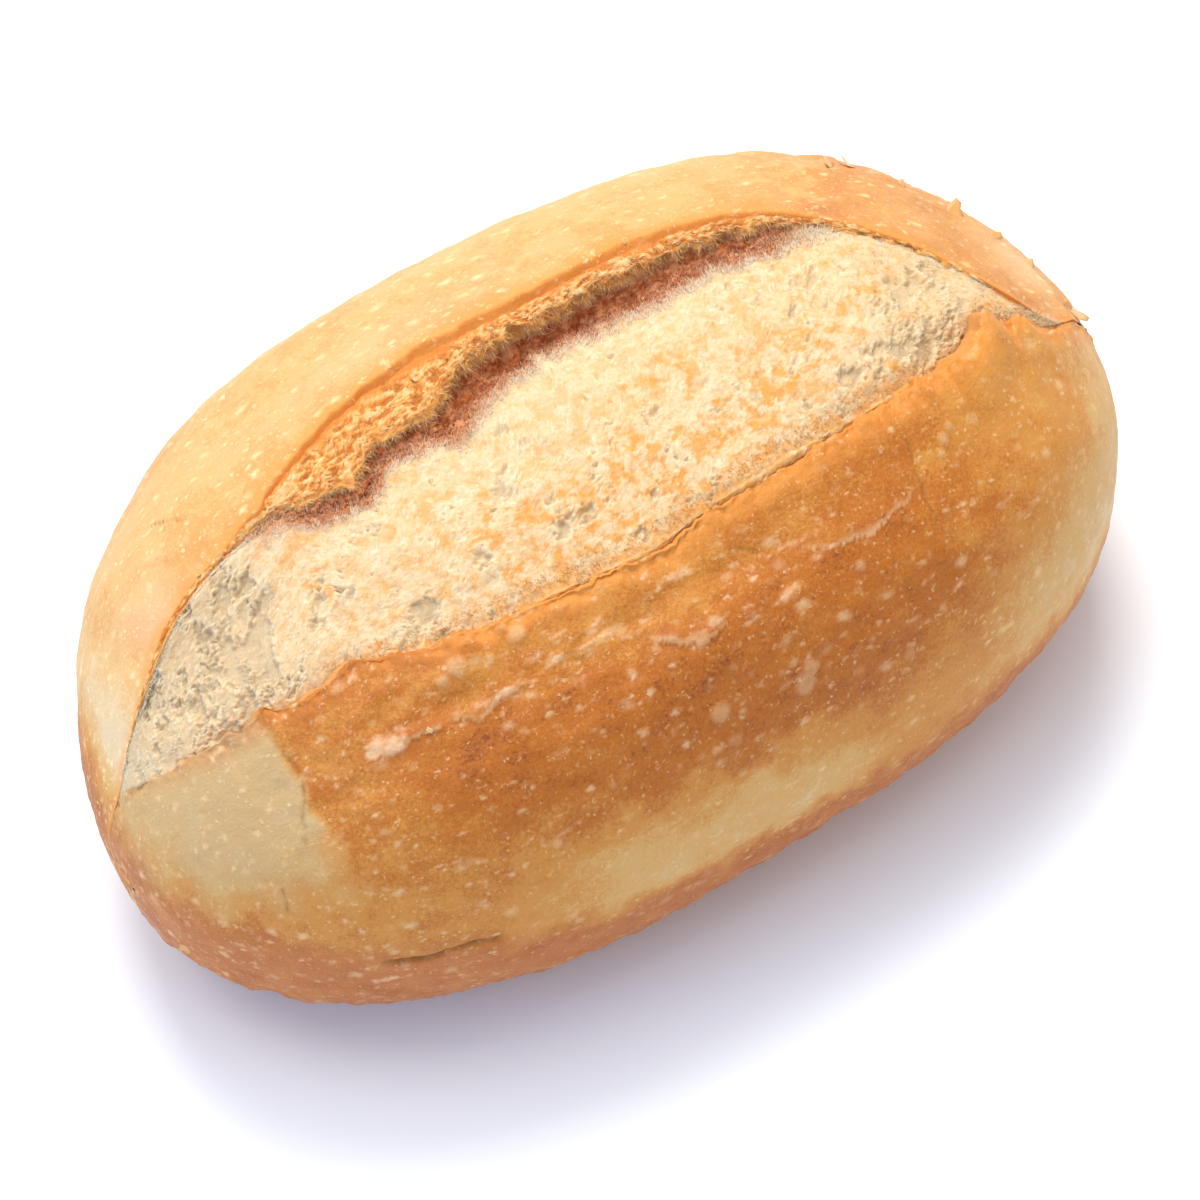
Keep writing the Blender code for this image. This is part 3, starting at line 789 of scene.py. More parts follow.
def add_far_crust(material):
    """The far side of the loaf with its relief, and the fields that its material reads."""
    p, hidden = far_crust_sheet()
    edge_column = len(FAR_EDGE_PROFILE)
    down = distance_from(p, edge_column)
    inside = np.arange(p.shape[1])[None] < edge_column

    flat = shaken(stretched(p, ALONG_VIEW, 2.4), 0.9, 0.3, 55)
    small, small_size = blisters(flat, 1.7, (0.2, 0.62), 0.4, 51)
    round_height, round_mask = round_blisters(p, FAR_BLISTERS)
    crack_depth, crack_mask = cracks_in(p, FAR_CRACKS)
    skin_height, skin_mask = peeled(p, FAR_SKIN, (-0.5, 0.8, -0.3))
    uneven = 0.14 + 0.16 * fade(p[..., 0], 28, 44)
    height = (0.8 * skin_relief(p) + uneven * rough(p, 5, 5, gain=0.6, salt=57)
              + 0.16 * small * small_size + round_height + skin_height - crack_depth)
    height = height * fade(down, 0, 2) * fade(p[..., 2], 0.3, 3)
    p = p + outward(p) * height[..., None]
    p[..., 2] = np.maximum(p[..., 2], 0)

    wavering = down + 0.4 * noise(p, 2.6, 56)
    fields = {
        "bake": far_bake(p, down),
        "rosy": far_rosy(p),
        "pale": np.clip(np.maximum(0.9 * small, 0.8 * round_mask) + 0.3 * skin_mask, 0, 1),
        "crack": np.clip(0.7 * crack_mask, 0, 1),
        "scuffs_and_sheen": 0 * down,
        "sallow": 0 * down,
        "edge": np.where(inside, fade(wavering, 3.0, 1.0), 0.7 * fade(wavering, 1.5, 0.1)),
        "inside": inside * fade(down, 1.4, 3.0),
    }
    add_sheet("far_crust", p, hidden, material, "crust", fields)
    return p


def far_bake(p, down):
    """How brown the far crust is: golden on the shoulder, more orange next to the slash and beyond the torn
    skin at the +X end, ivory at the -X tip, and a baked foot."""
    x, z = p[..., 0], p[..., 2]
    edge_x, _, edge_z = np.array(FAR_SKIN_EDGE[0])[::-1].T
    beyond = x - np.interp(z, edge_z, edge_x) + 0.8 * noise(p, 2, 46)
    bake = 0.38 + 0.07 * fade(down, 7, 1) + 0.21 * fade(beyond, -0.4, 0.4)
    bake = towards(bake, 0.2, patch(p, (55, -2, 33), (5, 6, 6)) * 0.8)
    bake = towards(bake, 0, fade(x, -48, -57))
    bake = towards(bake, 0.62, fade(z, 15, 9))
    skins = fade(rough(shaken(p, 1.5, 0.6, 49), 8, 5, gain=0.6, salt=50), -0.04, 0.04)
    bake = bake + 0.09 * (skins - 0.5)
    bake = towards(bake, tip_bake(p), at_far_tips(p))
    return bake + 0.07 * rough(p, 11, 3, salt=43) + 0.05 * rough(stretched(p, (1, 0, 0), 2), 2.8, 3, salt=44)


def far_rosy(p):
    """Where the far crust turns pinkish: near the -X end, over the torn lip, by the +X tip, at the foot."""
    rosy = 0.7 * patch(p, (-47.2, 8.6, 38.8), (4.5, 4.5, 5)) + 0.35 * patch(p, (-12, 19, 45), (16, 4, 5))
    rosy = rosy + 0.22 + 0.8 * patch(p, (54.5, -2, 33), (5, 6, 6))
    return np.clip(rosy + 0.7 * fade(p[..., 2], 14, 8), 0, 1) * (1 - at_far_tips(p))


# ------------------------------------------------------------------------------------------------
# The opening: the risen crumb and the torn lip
# ------------------------------------------------------------------------------------------------

CRUMB_STATIONS = 600
LIP_STATIONS = 520
BED_CONTROLS = 13
FAR_SIDE_FILLED = 0.4  # how much the crumb stands higher along the far edge near the -X end than its solid
RISES_AT_EDGE = 1.6  # how much the fuzzy crumb stands higher along the near edge than its solid
FLUFF_FILLS = ((-60, 0.85), (-34, 0.85), (-24, 0.76), (-17, 0.66), (-12, 0.5), (-4, 0.4), (14, 0.4),
               (26, 0.6), (34, 0.8), (60, 0.8))  # (x, part of the cavity's depth that torn fluff fills)
OPENING_ENDS = (-57.9, 55.6)  # the least and the greatest x with crumb or lip
CRUMB_BEGINS = ((0.35, -0.2), (0.8, 0.15))  # (distance from the near edge, height over the crumb's foot)
LIP_STANDS_UP = (0.1, 0.25, 0.4, 0.5)  # how much the torn top lies higher than its solid, up to the crease
BED_COUNTS = (4, 6) + (10,) * 12 + (12, 12, 14, 8, 8)  # points in each span between control points
LIP_COUNTS = (8, 10, 12, 12, 14, 12, 16, 16, 10, 6)
BURIED_COLUMNS = (14, 4)  # from the end of the crumb's sheet, where its relief dies away inside the lip
PULLED = (0.56, 0.83, 0.1)  # across the slash, the way the crumb was drawn out as it tore
OPEN_CRUMB = (  # (middle, reach, how much more of the crumb lies open there)
    ((-50, -6, 38), (9, 8, 9), 1.0), ((-41.5, 0, 42), (5, 5, 9), 0.9), ((-39, 4.5, 43), (3, 2.5, 9), 0.8),
    ((-26.7, -9.8, 46.4), (2.6, 1.8, 9), 1.3), ((-20, -9.5, 47), (3, 1.6, 9), 0.9),
    ((-13.6, -4.4, 49.3), (1.4, 1.3, 9), 1.3), ((-9, -11.3, 48.6), (2.8, 1.5, 9), 1.3),
    ((-31, -12, 45), (4, 1.8, 9), 0.9), ((36, -7, 45), (4.5, 6, 9), 1.0),
    ((31.9, -11.2, 44.8), (2.4, 1.4, 9), 1.3), ((29.2, -9.6, 46.7), (2, 1.2, 9), 1.2),
    ((24.4, -11.7, 47), (2.2, 1.2, 9), 1.2), ((28.3, 0.8, 47), (1.3, 1.0, 9), 1.3),
    ((20.7, 4.1, 48), (1.6, 0.9, 9), 1.3), ((40, -3, 43), (3, 3, 9), 0.7),
)
TOASTED = (  # (middle, reach, how much more the crumb is toasted there)
    ((7, -9, 49), (12, 6, 9), 0.75), ((22, -4, 49), (12, 7, 9), 0.3), ((13, -8.1, 48.6), (5, 2.5, 9), 1.1),
    ((21.1, -7, 48), (5, 2, 9), 1.2), ((6.6, -1.2, 49.2), (5, 2, 9), 0.7),
    ((-9, -8.2, 48.8), (3, 2.5, 9), 0.7), ((-15.2, -6.9, 48.7), (2.5, 2.5, 9), 0.7),
    ((-1, -12, 49), (10, 4, 9), 0.7), ((-33.2, -4.4, 46), (0.9, 3.2, 9), 1.8),
    ((-20, -5, 48), (11, 7, 9), 0.45), ((-10, -13, 48), (12, 2.5, 9), 0.7), ((33, -2, 46), (6, 6, 9), 0.7),
    ((-36, 2, 44), (5, 5, 9), 0.5),
)


def opening_stations(count):
    """Stations along X, evenly placed, that lie within the opening."""
    s = evenly_placed(count)
    return s[(s[:, 0] > OPENING_ENDS[0] / HALF_LENGTH) & (s[:, 0] < OPENING_ENDS[1] / HALF_LENGTH)]


def opening_controls(s):
    """Control points of the crumb in every section, from under the near crust edge to the floor of the
    cavity, and those of the torn lip, from that floor up to under the far crust edge."""
    x = s * HALF_LENGTH
    near, far = crust_edges(s)
    near_y, near_z = loaf(s, near)
    far_y, far_z = loaf(s, far)
    width = np.maximum(np.hypot(far_y - near_y, far_z - near_z), 0.05)
    shrink = np.clip(width / NARROW_OPENING, 0, 1)
    depth = along(CAVITY_DEPTH, x) * shrink * (1 - along(FLUFF_FILLS, x))
    foot = (along(NEAR_FOOT, x) + RISES_AT_EDGE * fade(x, -42, -30)) * shrink
    axis = on_axis(x)
    torn = 0.9 * noise(axis, 3.7, 3) + 0.55 * noise(axis, 1.4, 4) + 0.3 * noise(axis, 0.7, 2)
    lip_width = along(LIP_WIDTH, x) + torn * fade(x, -36, -30) * fade(x, 40, 26)
    part, extra, lift, extra_lift = np.array(LIP_PROFILE).T[:, None]
    lip_distance = shrink * (part * lip_width + extra * along(CAVITY_MOUTH, x))
    lip_height = lift * depth + (extra_lift + FAR_SIDE_FILLED * fade(x, -34, -42)) * shrink
    lip_height[:, LIP_TOP:] += np.array(LIP_STANDS_UP) * shrink

    begin, over_foot = np.array(CRUMB_BEGINS).T[:, None]
    t = np.linspace(0, 1, BED_CONTROLS + 1)[None, :-1]
    foot_distance = FOOT_DISTANCE * shrink
    bed_distance = foot_distance + t * (width - lip_distance[:, :1] - foot_distance)
    crown = along(BED_CROWN, x) * shrink
    side = np.where(t < 0.5, foot, lip_height[:, :1])
    bed_height = crown + (side - crown) * np.abs(2 * t - 1) ** BED_FLATNESS

    def placed(distance, height):
        return in_place(s, *raised(s, near + (far - near) * distance / width, height))

    def in_profile(first, end, further=0.0, lower=0.0):
        return placed(width - lip_distance[:, first:end] + further, lip_height[:, first:end] - lower)

    shallow = fade(x, -32, -40)
    further, lower = (1.2 - shallow) * shrink, (0.3 + 0.7 * shallow) * shrink
    into_wall = in_profile(FLOOR_BACK, FLOOR_BACK + 1, further, lower)
    bed = np.concatenate([placed(begin * shrink, foot + over_foot * shrink), placed(bed_distance, bed_height),
                          in_profile(0, FLOOR_BACK + 1), into_wall], axis=1)
    under_floor = in_profile(FLOOR, FLOOR + 1, 0.0, 1.2 * shrink)
    under_crust = placed(width + 0.9 * shrink, along(FAR_EDGE_RISE, x) - 0.8 * shrink)
    lip = np.concatenate([under_floor, in_profile(FLOOR_BACK, len(LIP_PROFILE)), under_crust], axis=1)
    return bed, lip, shrink


def hidden_below(p, depth):
    """Hidden columns that close a sheet from behind: its last and first columns moved inwards."""
    down = np.array([0, 0, -1.0]) * depth
    return np.concatenate([p[:, -1:] + down, p[:, p.shape[1] // 2:p.shape[1] // 2 + 1] + 1.5 * down,
                           p[:, :1] + down], axis=1)


def add_crumb(material):
    """The bed of risen crumb between both crust edges, down to the floor of the cavity behind it."""
    s = opening_stations(CRUMB_STATIONS)
    controls, _, shrink = opening_controls(s)
    p = through(controls, BED_COUNTS)
    normal = outward(p)
    into = opening_depth(s, p)
    height, hollow, rim, peak = torn_crumb(p, into)
    from_end = p.shape[1] - np.arange(p.shape[1])
    buried = fade(from_end, *BURIED_COLUMNS)[None]
    p = p + normal * (height * np.minimum(shrink * 1.6, 1) * (1 - buried))[..., None]
    fields = {
        "toast": crumb_toast(p, hollow, peak),
        "deep": hollow,
        "rim": rim,
        "cavity": into,
    }
    add_sheet("crumb", p, hidden_below(p, 4.0 * shrink[..., None]), material, "crumb", fields)
    return p, fields


def torn_crumb(p, into):
    """Relief of the crumb where it tore, with masks of its hollows, of their rims and of its peaks. A fuzzy
    upper layer has ragged holes, drawn out across the slash towards both ends, and under them lie the smooth
    walls of the bubbles; small bubbles are open everywhere."""
    x = p[..., 0]
    towards_ends = np.clip(fade(x, -24, -42) + fade(x, 20, 34), 0, 1)
    q = stretched(p, PULLED, 1.15)
    q = shaken(q + (stretched(p, PULLED, 1.8) - q) * towards_ends[..., None], 0.9, 0.35, 117)
    openness = -0.62 + sum(more * patch(p, middle, reach) for middle, reach, more in OPEN_CRUMB)
    field = rough(q, 2.6, 5, gain=0.74, salt=118) + openness - 1.2 * into
    hole = fade(field, 0.0, 0.5)
    rim = np.exp(-(((field + 0.06) / 0.1) ** 2))
    middle, middle_rim = bowls(q, 2.1, (0.3, 0.95), 0.45, 112)
    small, small_rim = bowls(q, 0.95, (0.14, 0.42), 0.8, 113)
    craters, _ = bowls(q, 3.2, (0.7, 1.7), 0.8, 127)
    drawn_pores, _ = bowls(stretched(p, PULLED, 3.0), 1.25, (0.22, 0.6), 0.85, 128)

    fuzz = 0.12 * rough(q, 1.1, 4, gain=0.75, salt=115) + 0.08 * noise(q, 0.42, 116)
    upper = fuzz + 0.08 * rim - 0.24 * small - 0.26 * middle
    upper = upper + into * (0.45 * rough(p, 1.9, 4, gain=0.65, salt=123))
    streaks = 0.12 * rough(stretched(p, PULLED, 5.0), 1.1, 3, salt=119)
    lower = (-0.3 - 0.2 * fade(field, 0.2, 0.9) + streaks - 0.12 * small
             - towards_ends * (0.16 * craters**2 + 0.36 * drawn_pores) + (0.8 - 0.5 * towards_ends) * fuzz)
    waves = 0.5 * rough(p, 9, 2, salt=114) + 0.1 * rough(q, 2.6, 2, salt=120)
    height = waves + towards(upper, lower, hole)

    # Painted shade: the hollow mask greys the crumb in its bubbles, and over the whole -X end.
    hollow = fade(field, -0.15, 0.95) + 0.35 * middle + 0.3 * small
    hollow = np.clip(hollow + 0.6 * fade(x, -32, -48) * fade(rim, 0.9, 0.1), 0, 1)
    hollow = np.clip(hollow * (1 + towards_ends * (0.4 * craters + 0.4 * drawn_pores - 0.2)), 0, 1)
    peak = fade(fuzz, 0.0, 0.22) * (1 - hole)
    return height, hollow, np.clip(rim + 0.6 * middle_rim + 0.4 * small_rim, 0, 1), peak


def opening_depth(s, p):
    """How deep in the cavity a point of the opening lies: 0 on the bed and 1 at the back of the floor."""
    controls, _, _ = opening_controls(s)
    brow = controls[:, 2 + BED_CONTROLS, 1][:, None]
    x = p[..., 0]
    # The depth begins 2.6 mm before the brow, so that the painted shade of the cavity reaches onto the bed.
    across = p[..., 1] + 0.6 * noise(stretched(p, PULLED, 3.0), 0.8, 124)
    back = brow + 0.3 + 0.5 * along(CAVITY_MOUTH, x)
    return fade(x, -40, -28) * fade(x, 36, 26) * fade(across, brow - 2.6, back)


def crumb_toast(p, hollow, peak):
    """Golden toasted parts of the crumb: broken patches on the crown of the bed, a strip behind the near edge
    and the +X tip, stronger on the peaks, and none in the hollows."""
    x = p[..., 0]
    from_edge = p[..., 1] - SHIFT - along(NEAR_EDGE, x)
    where = sum(more * patch(p, middle, reach) for middle, reach, more in TOASTED)
    where = where + 1.3 * fade(from_edge + 1.2 * noise(p, 2.2, 129), 4.0, 1.4) * fade(x, -44, -30)
    where = where + 0.8 * fade(x, 43, 49)
    broken = fade(rough(shaken(p, 0.8, 0.4, 122), 2.2, 5, gain=0.72, salt=121), -0.3, 0.7)
    toasted = (0.42 + 1.1 * where) * broken * (0.8 + 0.8 * peak) - 0.8 * hollow
    behind_edge = 0.8 * fade(from_edge + 0.9 * noise(p, 1.6, 130), 2.3, 1.0) * fade(x, -46, -34)
    return most(toasted, behind_edge)


def add_lip(material):
    """The torn wall of the cavity and the flaky lip over it, up to the crease at the far crust edge."""
    s = opening_stations(LIP_STATIONS)
    _, controls, shrink = opening_controls(s)
    p = through(controls, LIP_COUNTS)
    normal = outward(p)
    places = places_in(LIP_COUNTS)[None] + 0 * p[..., 0]
    along_slash = shaken(stretched(p, (1, 0.15, 0), 2.0), 1.0, 0.35, 137)
    hanging = stretched(p, (0.2, 0.5, 1), 2.0)
    on_top = fade(places + 0.35 * noise(along_slash, 1.2, 141), 5.6, 6.4)
    ridges = 0.5 - np.abs(rough(along_slash, 2.3, 5, gain=0.66, salt=131))
    crumbly = 0.5 - np.abs(rough(shaken(p, 0.9, 0.3, 142), 1.3, 4, gain=0.7, salt=143))
    flaky = 0.32 * ridges + 0.24 * crumbly + 0.08 * noise(along_slash, 0.45, 132)
    fuzzy = 0.5 * rough(hanging, 1.5, 4, gain=0.68, salt=133) + 0.16 * noise(hanging, 0.45, 134)
    pits, _ = bowls(shaken(hanging, 0.8, 0.3, 138), 1.5, (0.3, 0.8), 0.75, 135)
    height = on_top * flaky * fade(places, 9.6, 8.4) + (1 - on_top) * (0.8 * fuzzy - 0.4 * pits)
    height = height * (0.3 + 0.7 * fade(p[..., 0], -44, -34))
    p = p + normal * (height * np.minimum(shrink * 1.5, 1))[..., None]
    x = p[..., 0]
    cavity = fade(places + 0.5 * noise(hanging, 0.8, 140), 5.2, 2.8)
    fields = {
        "torn_top": on_top,
        "crease": fade(places + 0.5 * noise(p, 1.8, 139) + 0.7 * fade(x, -16, -6), 8.3, 9.3),
        "cavity": cavity * fade(x, -42, -30) * fade(x, 38, 28),
        # gap and high carry the painted shade between the flakes of the torn top and the painted light on
        # them
        "gap": np.clip(fade(ridges, -0.25, -0.6) * on_top * fade(x, -6, -16), 0, 1),
        "high": fade(0.6 * ridges + crumbly, -0.1, 0.75) * on_top,
    }
    add_sheet("torn_lip", p, hidden_below(p, 1.5 * shrink[..., None]), material, "crumb", fields)
    return p, fields


# ------------------------------------------------------------------------------------------------
# Fibres of the tear
# ------------------------------------------------------------------------------------------------

FIBRE_SIDES = 3
FIBRE_RINGS = 3


def round_section(ways, bends):
    """Unit directions from the middle line of each fibre to the corners of its section."""
    side = np.cross(ways, bends + np.array([0.31, 0.22, 0.17]))
    side /= np.maximum(np.linalg.norm(side, axis=-1, keepdims=True), 1e-6)
    other = np.cross(ways, side)
    turn = np.arange(FIBRE_SIDES) * 2 * np.pi / FIBRE_SIDES
    return np.cos(turn)[None, :, None] * side[:, None] + np.sin(turn)[None, :, None] * other[:, None]


def fibres(roots, ways, lengths, widths, bends):
    """Points and faces of many tapered fibres at once. Each is a three-sided spike. Its middle line runs from
    its root along its way and bends off with the square of the distance, and its width falls to almost
    nothing at its end."""
    t = np.linspace(0, 1, FIBRE_RINGS)[None, :, None]
    middle = roots[:, None] + lengths[:, None, None] * (t * ways[:, None] + t * t * bends[:, None])
    width = widths[:, None, None, None] * (1 - 0.85 * t[..., None] ** 1.5)
    points = middle[:, :, None] + width * round_section(ways, bends)[:, None]

    each = FIBRE_RINGS * FIBRE_SIDES
    k = np.arange(FIBRE_SIDES)
    following = np.roll(k, -1)
    ring = np.stack([k, following, FIBRE_SIDES + following, FIBRE_SIDES + k], axis=-1)
    walls = np.concatenate([ring + r * FIBRE_SIDES for r in range(FIBRE_RINGS - 1)])
    caps = np.array([k[::-1], each - FIBRE_SIDES + k])
    first = np.arange(len(roots))[:, None, None] * each
    return points.reshape(-1, 3), (walls[None] + first).reshape(-1, 4), (caps[None] + first).reshape(-1, 3)


def picked(random, p, weight, count):
    """Places of a sheet picked at random, the likelier the greater their weight, with their normals and the
    numbers of the places."""
    chance = weight.ravel() / weight.sum()
    chosen = random.choice(chance.size, count, p=chance)
    return p.reshape(-1, 3)[chosen], outward(p).reshape(-1, 3)[chosen], chosen


def grown(random, p, weight, count, way, spread, lengths, radii, stand):
    """One kind of fibres on a sheet: roots where the weight is high, along the way and off the surface, with
    a random spread. Returns what fibres() takes, and the numbers of the root places."""
    roots, normals, chosen = picked(random, p, weight, count)
    ways = np.array(way, float) + stand * normals + random.normal(0, spread, roots.shape)
    ways /= np.linalg.norm(ways, axis=-1, keepdims=True)
    bends = random.normal(0, 0.3, roots.shape) - 0.15 * normals
    long, wide = random.uniform(*lengths, count), random.uniform(*radii, count)
    return (roots - 0.08 * normals, ways, long, wide, bends), chosen


def grow_kinds(random, kinds, uneven):
    """Several kinds of fibres one after the other: what fibres() and hairs() take, and how brown each is,
    painted shade included.
    """
    sets, brown_and_shade = [], []
    for sheet, weight, brown, count, way, spread, lengths, radii, stand in kinds:
        grown_here, places = grown(random, sheet, weight, count, way, spread, lengths, radii, stand)
        sets.append(grown_here)
        brown_and_shade.append(np.clip(brown.ravel()[places] + random.normal(0, uneven, count), 0, 1))
    return [np.concatenate(column) for column in zip(*sets)], np.concatenate(brown_and_shade)


def add_fibres(crumb_sheet, lip_sheet, material):
    """Loose fibres of the crumb: feathers that stand from its brow into the cavity, brown fur down in the
    cavity, and torn threads that hang from the lip; the browner the deeper they lie in the cavity, which is
    painted shade."""
    (bed, bed_fields), (lip, lip_fields) = crumb_sheet, lip_sheet
    cavity, lip_cavity = bed_fields["cavity"], lip_fields["cavity"]
    wide = fade(bed[..., 0], -38, -28) * fade(bed[..., 0], 38, 30)
    brow = np.exp(-(((cavity - 0.3) / 0.25) ** 2)) * fade(cavity, 0.005, 0.05) * wide
    fur = fade(cavity, 0.4, 0.7) * wide
    edge = np.exp(-(((lip_cavity - 0.2) / 0.3) ** 2)) * (1 - 0.6 * lip_fields["torn_top"])
    edge = edge * fade(lip[..., 0], -38, -28) * fade(lip[..., 0], 36, 28)
    # How brown a fibre is holds painted shade: the deeper it lies in the cavity, the browner.
    kinds = (  # sheet, weight, how brown, count, way, spread, lengths, radii, how far along the normal
        (bed, brow, 0.7 * fade(cavity, 0.25, 0.6), 2600, PULLED, 0.4, (0.3, 1.0), (0.03, 0.06), 0.5),
        (bed, fur, 0.75 + 0.25 * cavity, 2600, (0.4, 0.2, 0.4), 0.5, (0.3, 1.0), (0.04, 0.08), 0.8),
        (lip, edge, 0.45 + 0.5 * lip_cavity, 3800, (0.1, -0.5, -0.8), 0.4, (0.3, 1.1), (0.03, 0.07), 0.6),
    )
    sets, brown_and_shade = grow_kinds(np.random.default_rng(20), kinds, 0.06)
    fields = {"brown_and_shade": np.repeat(brown_and_shade, FIBRE_RINGS * FIBRE_SIDES)}
    return add_piece("crumb_fibres", *fibres(*sets), material, "crumb", fields)


def hairs(roots, ways, lengths, widths, bends):
    """Points and faces of many short hairs at once. Each is a slim pyramid on a triangle, and its tip lies at
    its length along its way, bent off a little."""
    foot = roots[:, None] + widths[:, None, None] * round_section(ways, bends)
    tip = roots + lengths[:, None] * (ways + 0.5 * bends)
    points = np.concatenate([foot, tip[:, None]], axis=1)
    faces = np.array([(0, 1, 3), (1, 2, 3), (2, 0, 3), (2, 1, 0)])
    first = np.arange(len(roots))[:, None, None] * 4
    return points.reshape(-1, 3), np.zeros((0, 4), int), (faces[None] + first).reshape(-1, 3)


def add_fuzz(crumb_sheet, lip_sheet, material):
    """Short fuzz: all over the crumb, denser on the rims of its bubbles and its brow, mottled brown in the
    cavity, golden behind the near crust edge, and on the torn top and edge of the lip. Its pinkish brow and
    the mottled brown in the cavity and on its wall are painted shade."""
    (bed, bed_fields), (lip, lip_fields) = crumb_sheet, lip_sheet
    cavity, lip_cavity = bed_fields["cavity"], lip_fields["cavity"]
    across = distance_from(bed, 0)
    wide = fade(bed[..., 0], -36, -26) * fade(bed[..., 0], 36, 28)
    lip_wide = fade(lip[..., 0], -40, -30) * fade(lip[..., 0], 38, 30)
    on_bed = (1 - cavity) * (0.35 + bed_fields["rim"]) * fade(across, 1.5, 3)
    on_brow = wide * fade(cavity, 0.02, 0.2) * fade(cavity, 0.75, 0.4)
    brow_brown = 0.14 + 0.8 * fade(cavity, 0.15, 0.6)
    in_cavity = wide * fade(cavity, 0.35, 0.6)
    spotted = fade(rough(bed, 1.6, 3, salt=126), 0.25, -0.25)
    behind_edge = fade(across, 4.2, 2.4) * fade(across, 0.9, 1.6) * fade(bed[..., 0], -44, -30)
    on_lip = lip_wide * (1 - lip_cavity) * (1 - 0.8 * lip_fields["crease"])
    lip_brown = 0.38 + 0.2 * lip_fields["crease"]
    on_wall = lip_wide * fade(lip_cavity, 0.1, 0.6)
    # How brown a hair is holds painted shade: the deeper it lies in the cavity, the browner.
    kinds = (  # sheet, weight, how brown, count, way, spread, lengths, radii, how far along the normal
        (bed, on_bed, 0.05 + 0.4 * bed_fields["toast"], 18000, PULLED, 0.9, (0.15, 0.6), (0.025, 0.05), 0.8),
        (bed, on_brow, brow_brown, 7000, PULLED, 0.5, (0.2, 0.8), (0.025, 0.05), 0.6),
        (bed, in_cavity, 0.6 + 0.4 * spotted, 5000, (0, 0, 0.4), 0.6, (0.2, 0.7), (0.03, 0.06), 0.8),
        (bed, behind_edge, 0.4 + 0 * cavity, 5000, (0.2, -0.5, 0.6), 0.45, (0.3, 0.9), (0.03, 0.06), 0.6),
        (lip, on_lip, lip_brown, 6000, (0, -0.6, 0), 0.6, (0.15, 0.5), (0.03, 0.055), 0.7),
        (lip, on_wall, 0.6 + 0.4 * lip_cavity, 3500, (0, -0.4, -0.6), 0.5, (0.2, 0.7), (0.03, 0.05), 0.6),
    )
    sets, brown_and_shade = grow_kinds(np.random.default_rng(31), kinds, 0.05)
    points, quads, triangles = hairs(*sets)
    fields = {"brown_and_shade": np.repeat(brown_and_shade, len(points) // len(brown_and_shade))}
    return add_piece("crumb_fuzz", points, quads, triangles, material, "crumb", fields)


# ------------------------------------------------------------------------------------------------
# Loose flakes of crust
# ------------------------------------------------------------------------------------------------

FLAKE_SIDES = 9
STANDING_FLAKES = (  # (crust, place, way, size, how far up it stands, how pale it is)
    ("far", (56.9, -7.6, 29.5), (0.85, -0.45, 0.1), 1.5, 0.8, 0.5),
    ("far", (56.2, -6.6, 30.5), (0.6, 0.5, 0.2), 0.7, 0.5, 0.2),
    ("far", (51.7, 7.6, 34.4), (0.4, 0.9, 0), 1.2, 1.3, 0.3),
    ("far", (48.3, 13.0, 35.8), (0.5, 0.8, 0), 0.5, 0.6, 0.5),
    ("far", (44.6, 17.2, 37), (-0.4, 0.9, 0), 1.3, 1.1, 0.6),
    ("far", (42.8, 18.2, 38), (-0.8, 0.6, 0), 1.1, 0.8, 0.6),
    ("far", (53.4, 3.0, 33.5), (0.7, 0.7, 0), 0.7, 0.7, 0.3),
    ("far", (55.0, -1.5, 32.5), (0.8, 0.5, 0), 0.6, 0.6, 0.6),
    ("near", (-58.6, -14.0, 16.5), (-0.8, -0.3, -0.3), 0.7, 0.6, 0.3),
)


def flakes(roots, normals, ways, sizes, lifts, outlines):
    """Points and faces of many flakes at once. Each is a thin ragged disc, longer across its way than along
    it, that lies on the crust at one side and curls up with the square of the distance to the other."""
    ways = ways - (ways * normals).sum(axis=-1, keepdims=True) * normals
    ways /= np.linalg.norm(ways, axis=-1, keepdims=True)
    across = np.cross(normals, ways)
    turn = np.arange(FLAKE_SIDES) * 2 * np.pi / FLAKE_SIDES
    reach = np.array([0.5, 1.0])[:, None]
    outline = np.concatenate([np.ones((len(roots), 1)), np.tile(outlines, 2)], axis=1)
    a = np.concatenate([[0], (reach * np.cos(turn)).ravel()]) * outline
    b = np.concatenate([[0], (reach * np.sin(turn)).ravel()]) * outline
    rise = lifts[:, None] * ((a + 1) / 2) ** 2 - 0.04
    flat = 0.7 * a[..., None] * ways[:, None] + b[..., None] * across[:, None]
    flat = roots[:, None] + sizes[:, None, None] * flat + rise[..., None] * normals[:, None]
    points = np.concatenate([flat + 0.03 * normals[:, None], flat - 0.03 * normals[:, None]], axis=1)
    k = np.arange(FLAKE_SIDES)
    following = np.roll(k, -1)
    inner, outer, below = 1 + k, 1 + FLAKE_SIDES + k, 1 + 2 * FLAKE_SIDES
    inner2, outer2 = 1 + following, 1 + FLAKE_SIDES + following
    fans = np.concatenate([np.stack([0 * k, inner, inner2], axis=-1),
                           np.stack([below + 0 * k, below + inner2, below + inner], axis=-1)])
    quads = np.concatenate([np.stack([inner, outer, outer2, inner2], axis=-1),
                            np.stack([below + inner2, below + outer2, below + outer, below + inner], axis=-1),
                            np.stack([outer, below + outer, below + outer2, outer2], axis=-1)])
    first = np.arange(len(roots))[:, None, None] * (2 * below)
    return points.reshape(-1, 3), (quads[None] + first).reshape(-1, 4), (fans[None] + first).reshape(-1, 3)


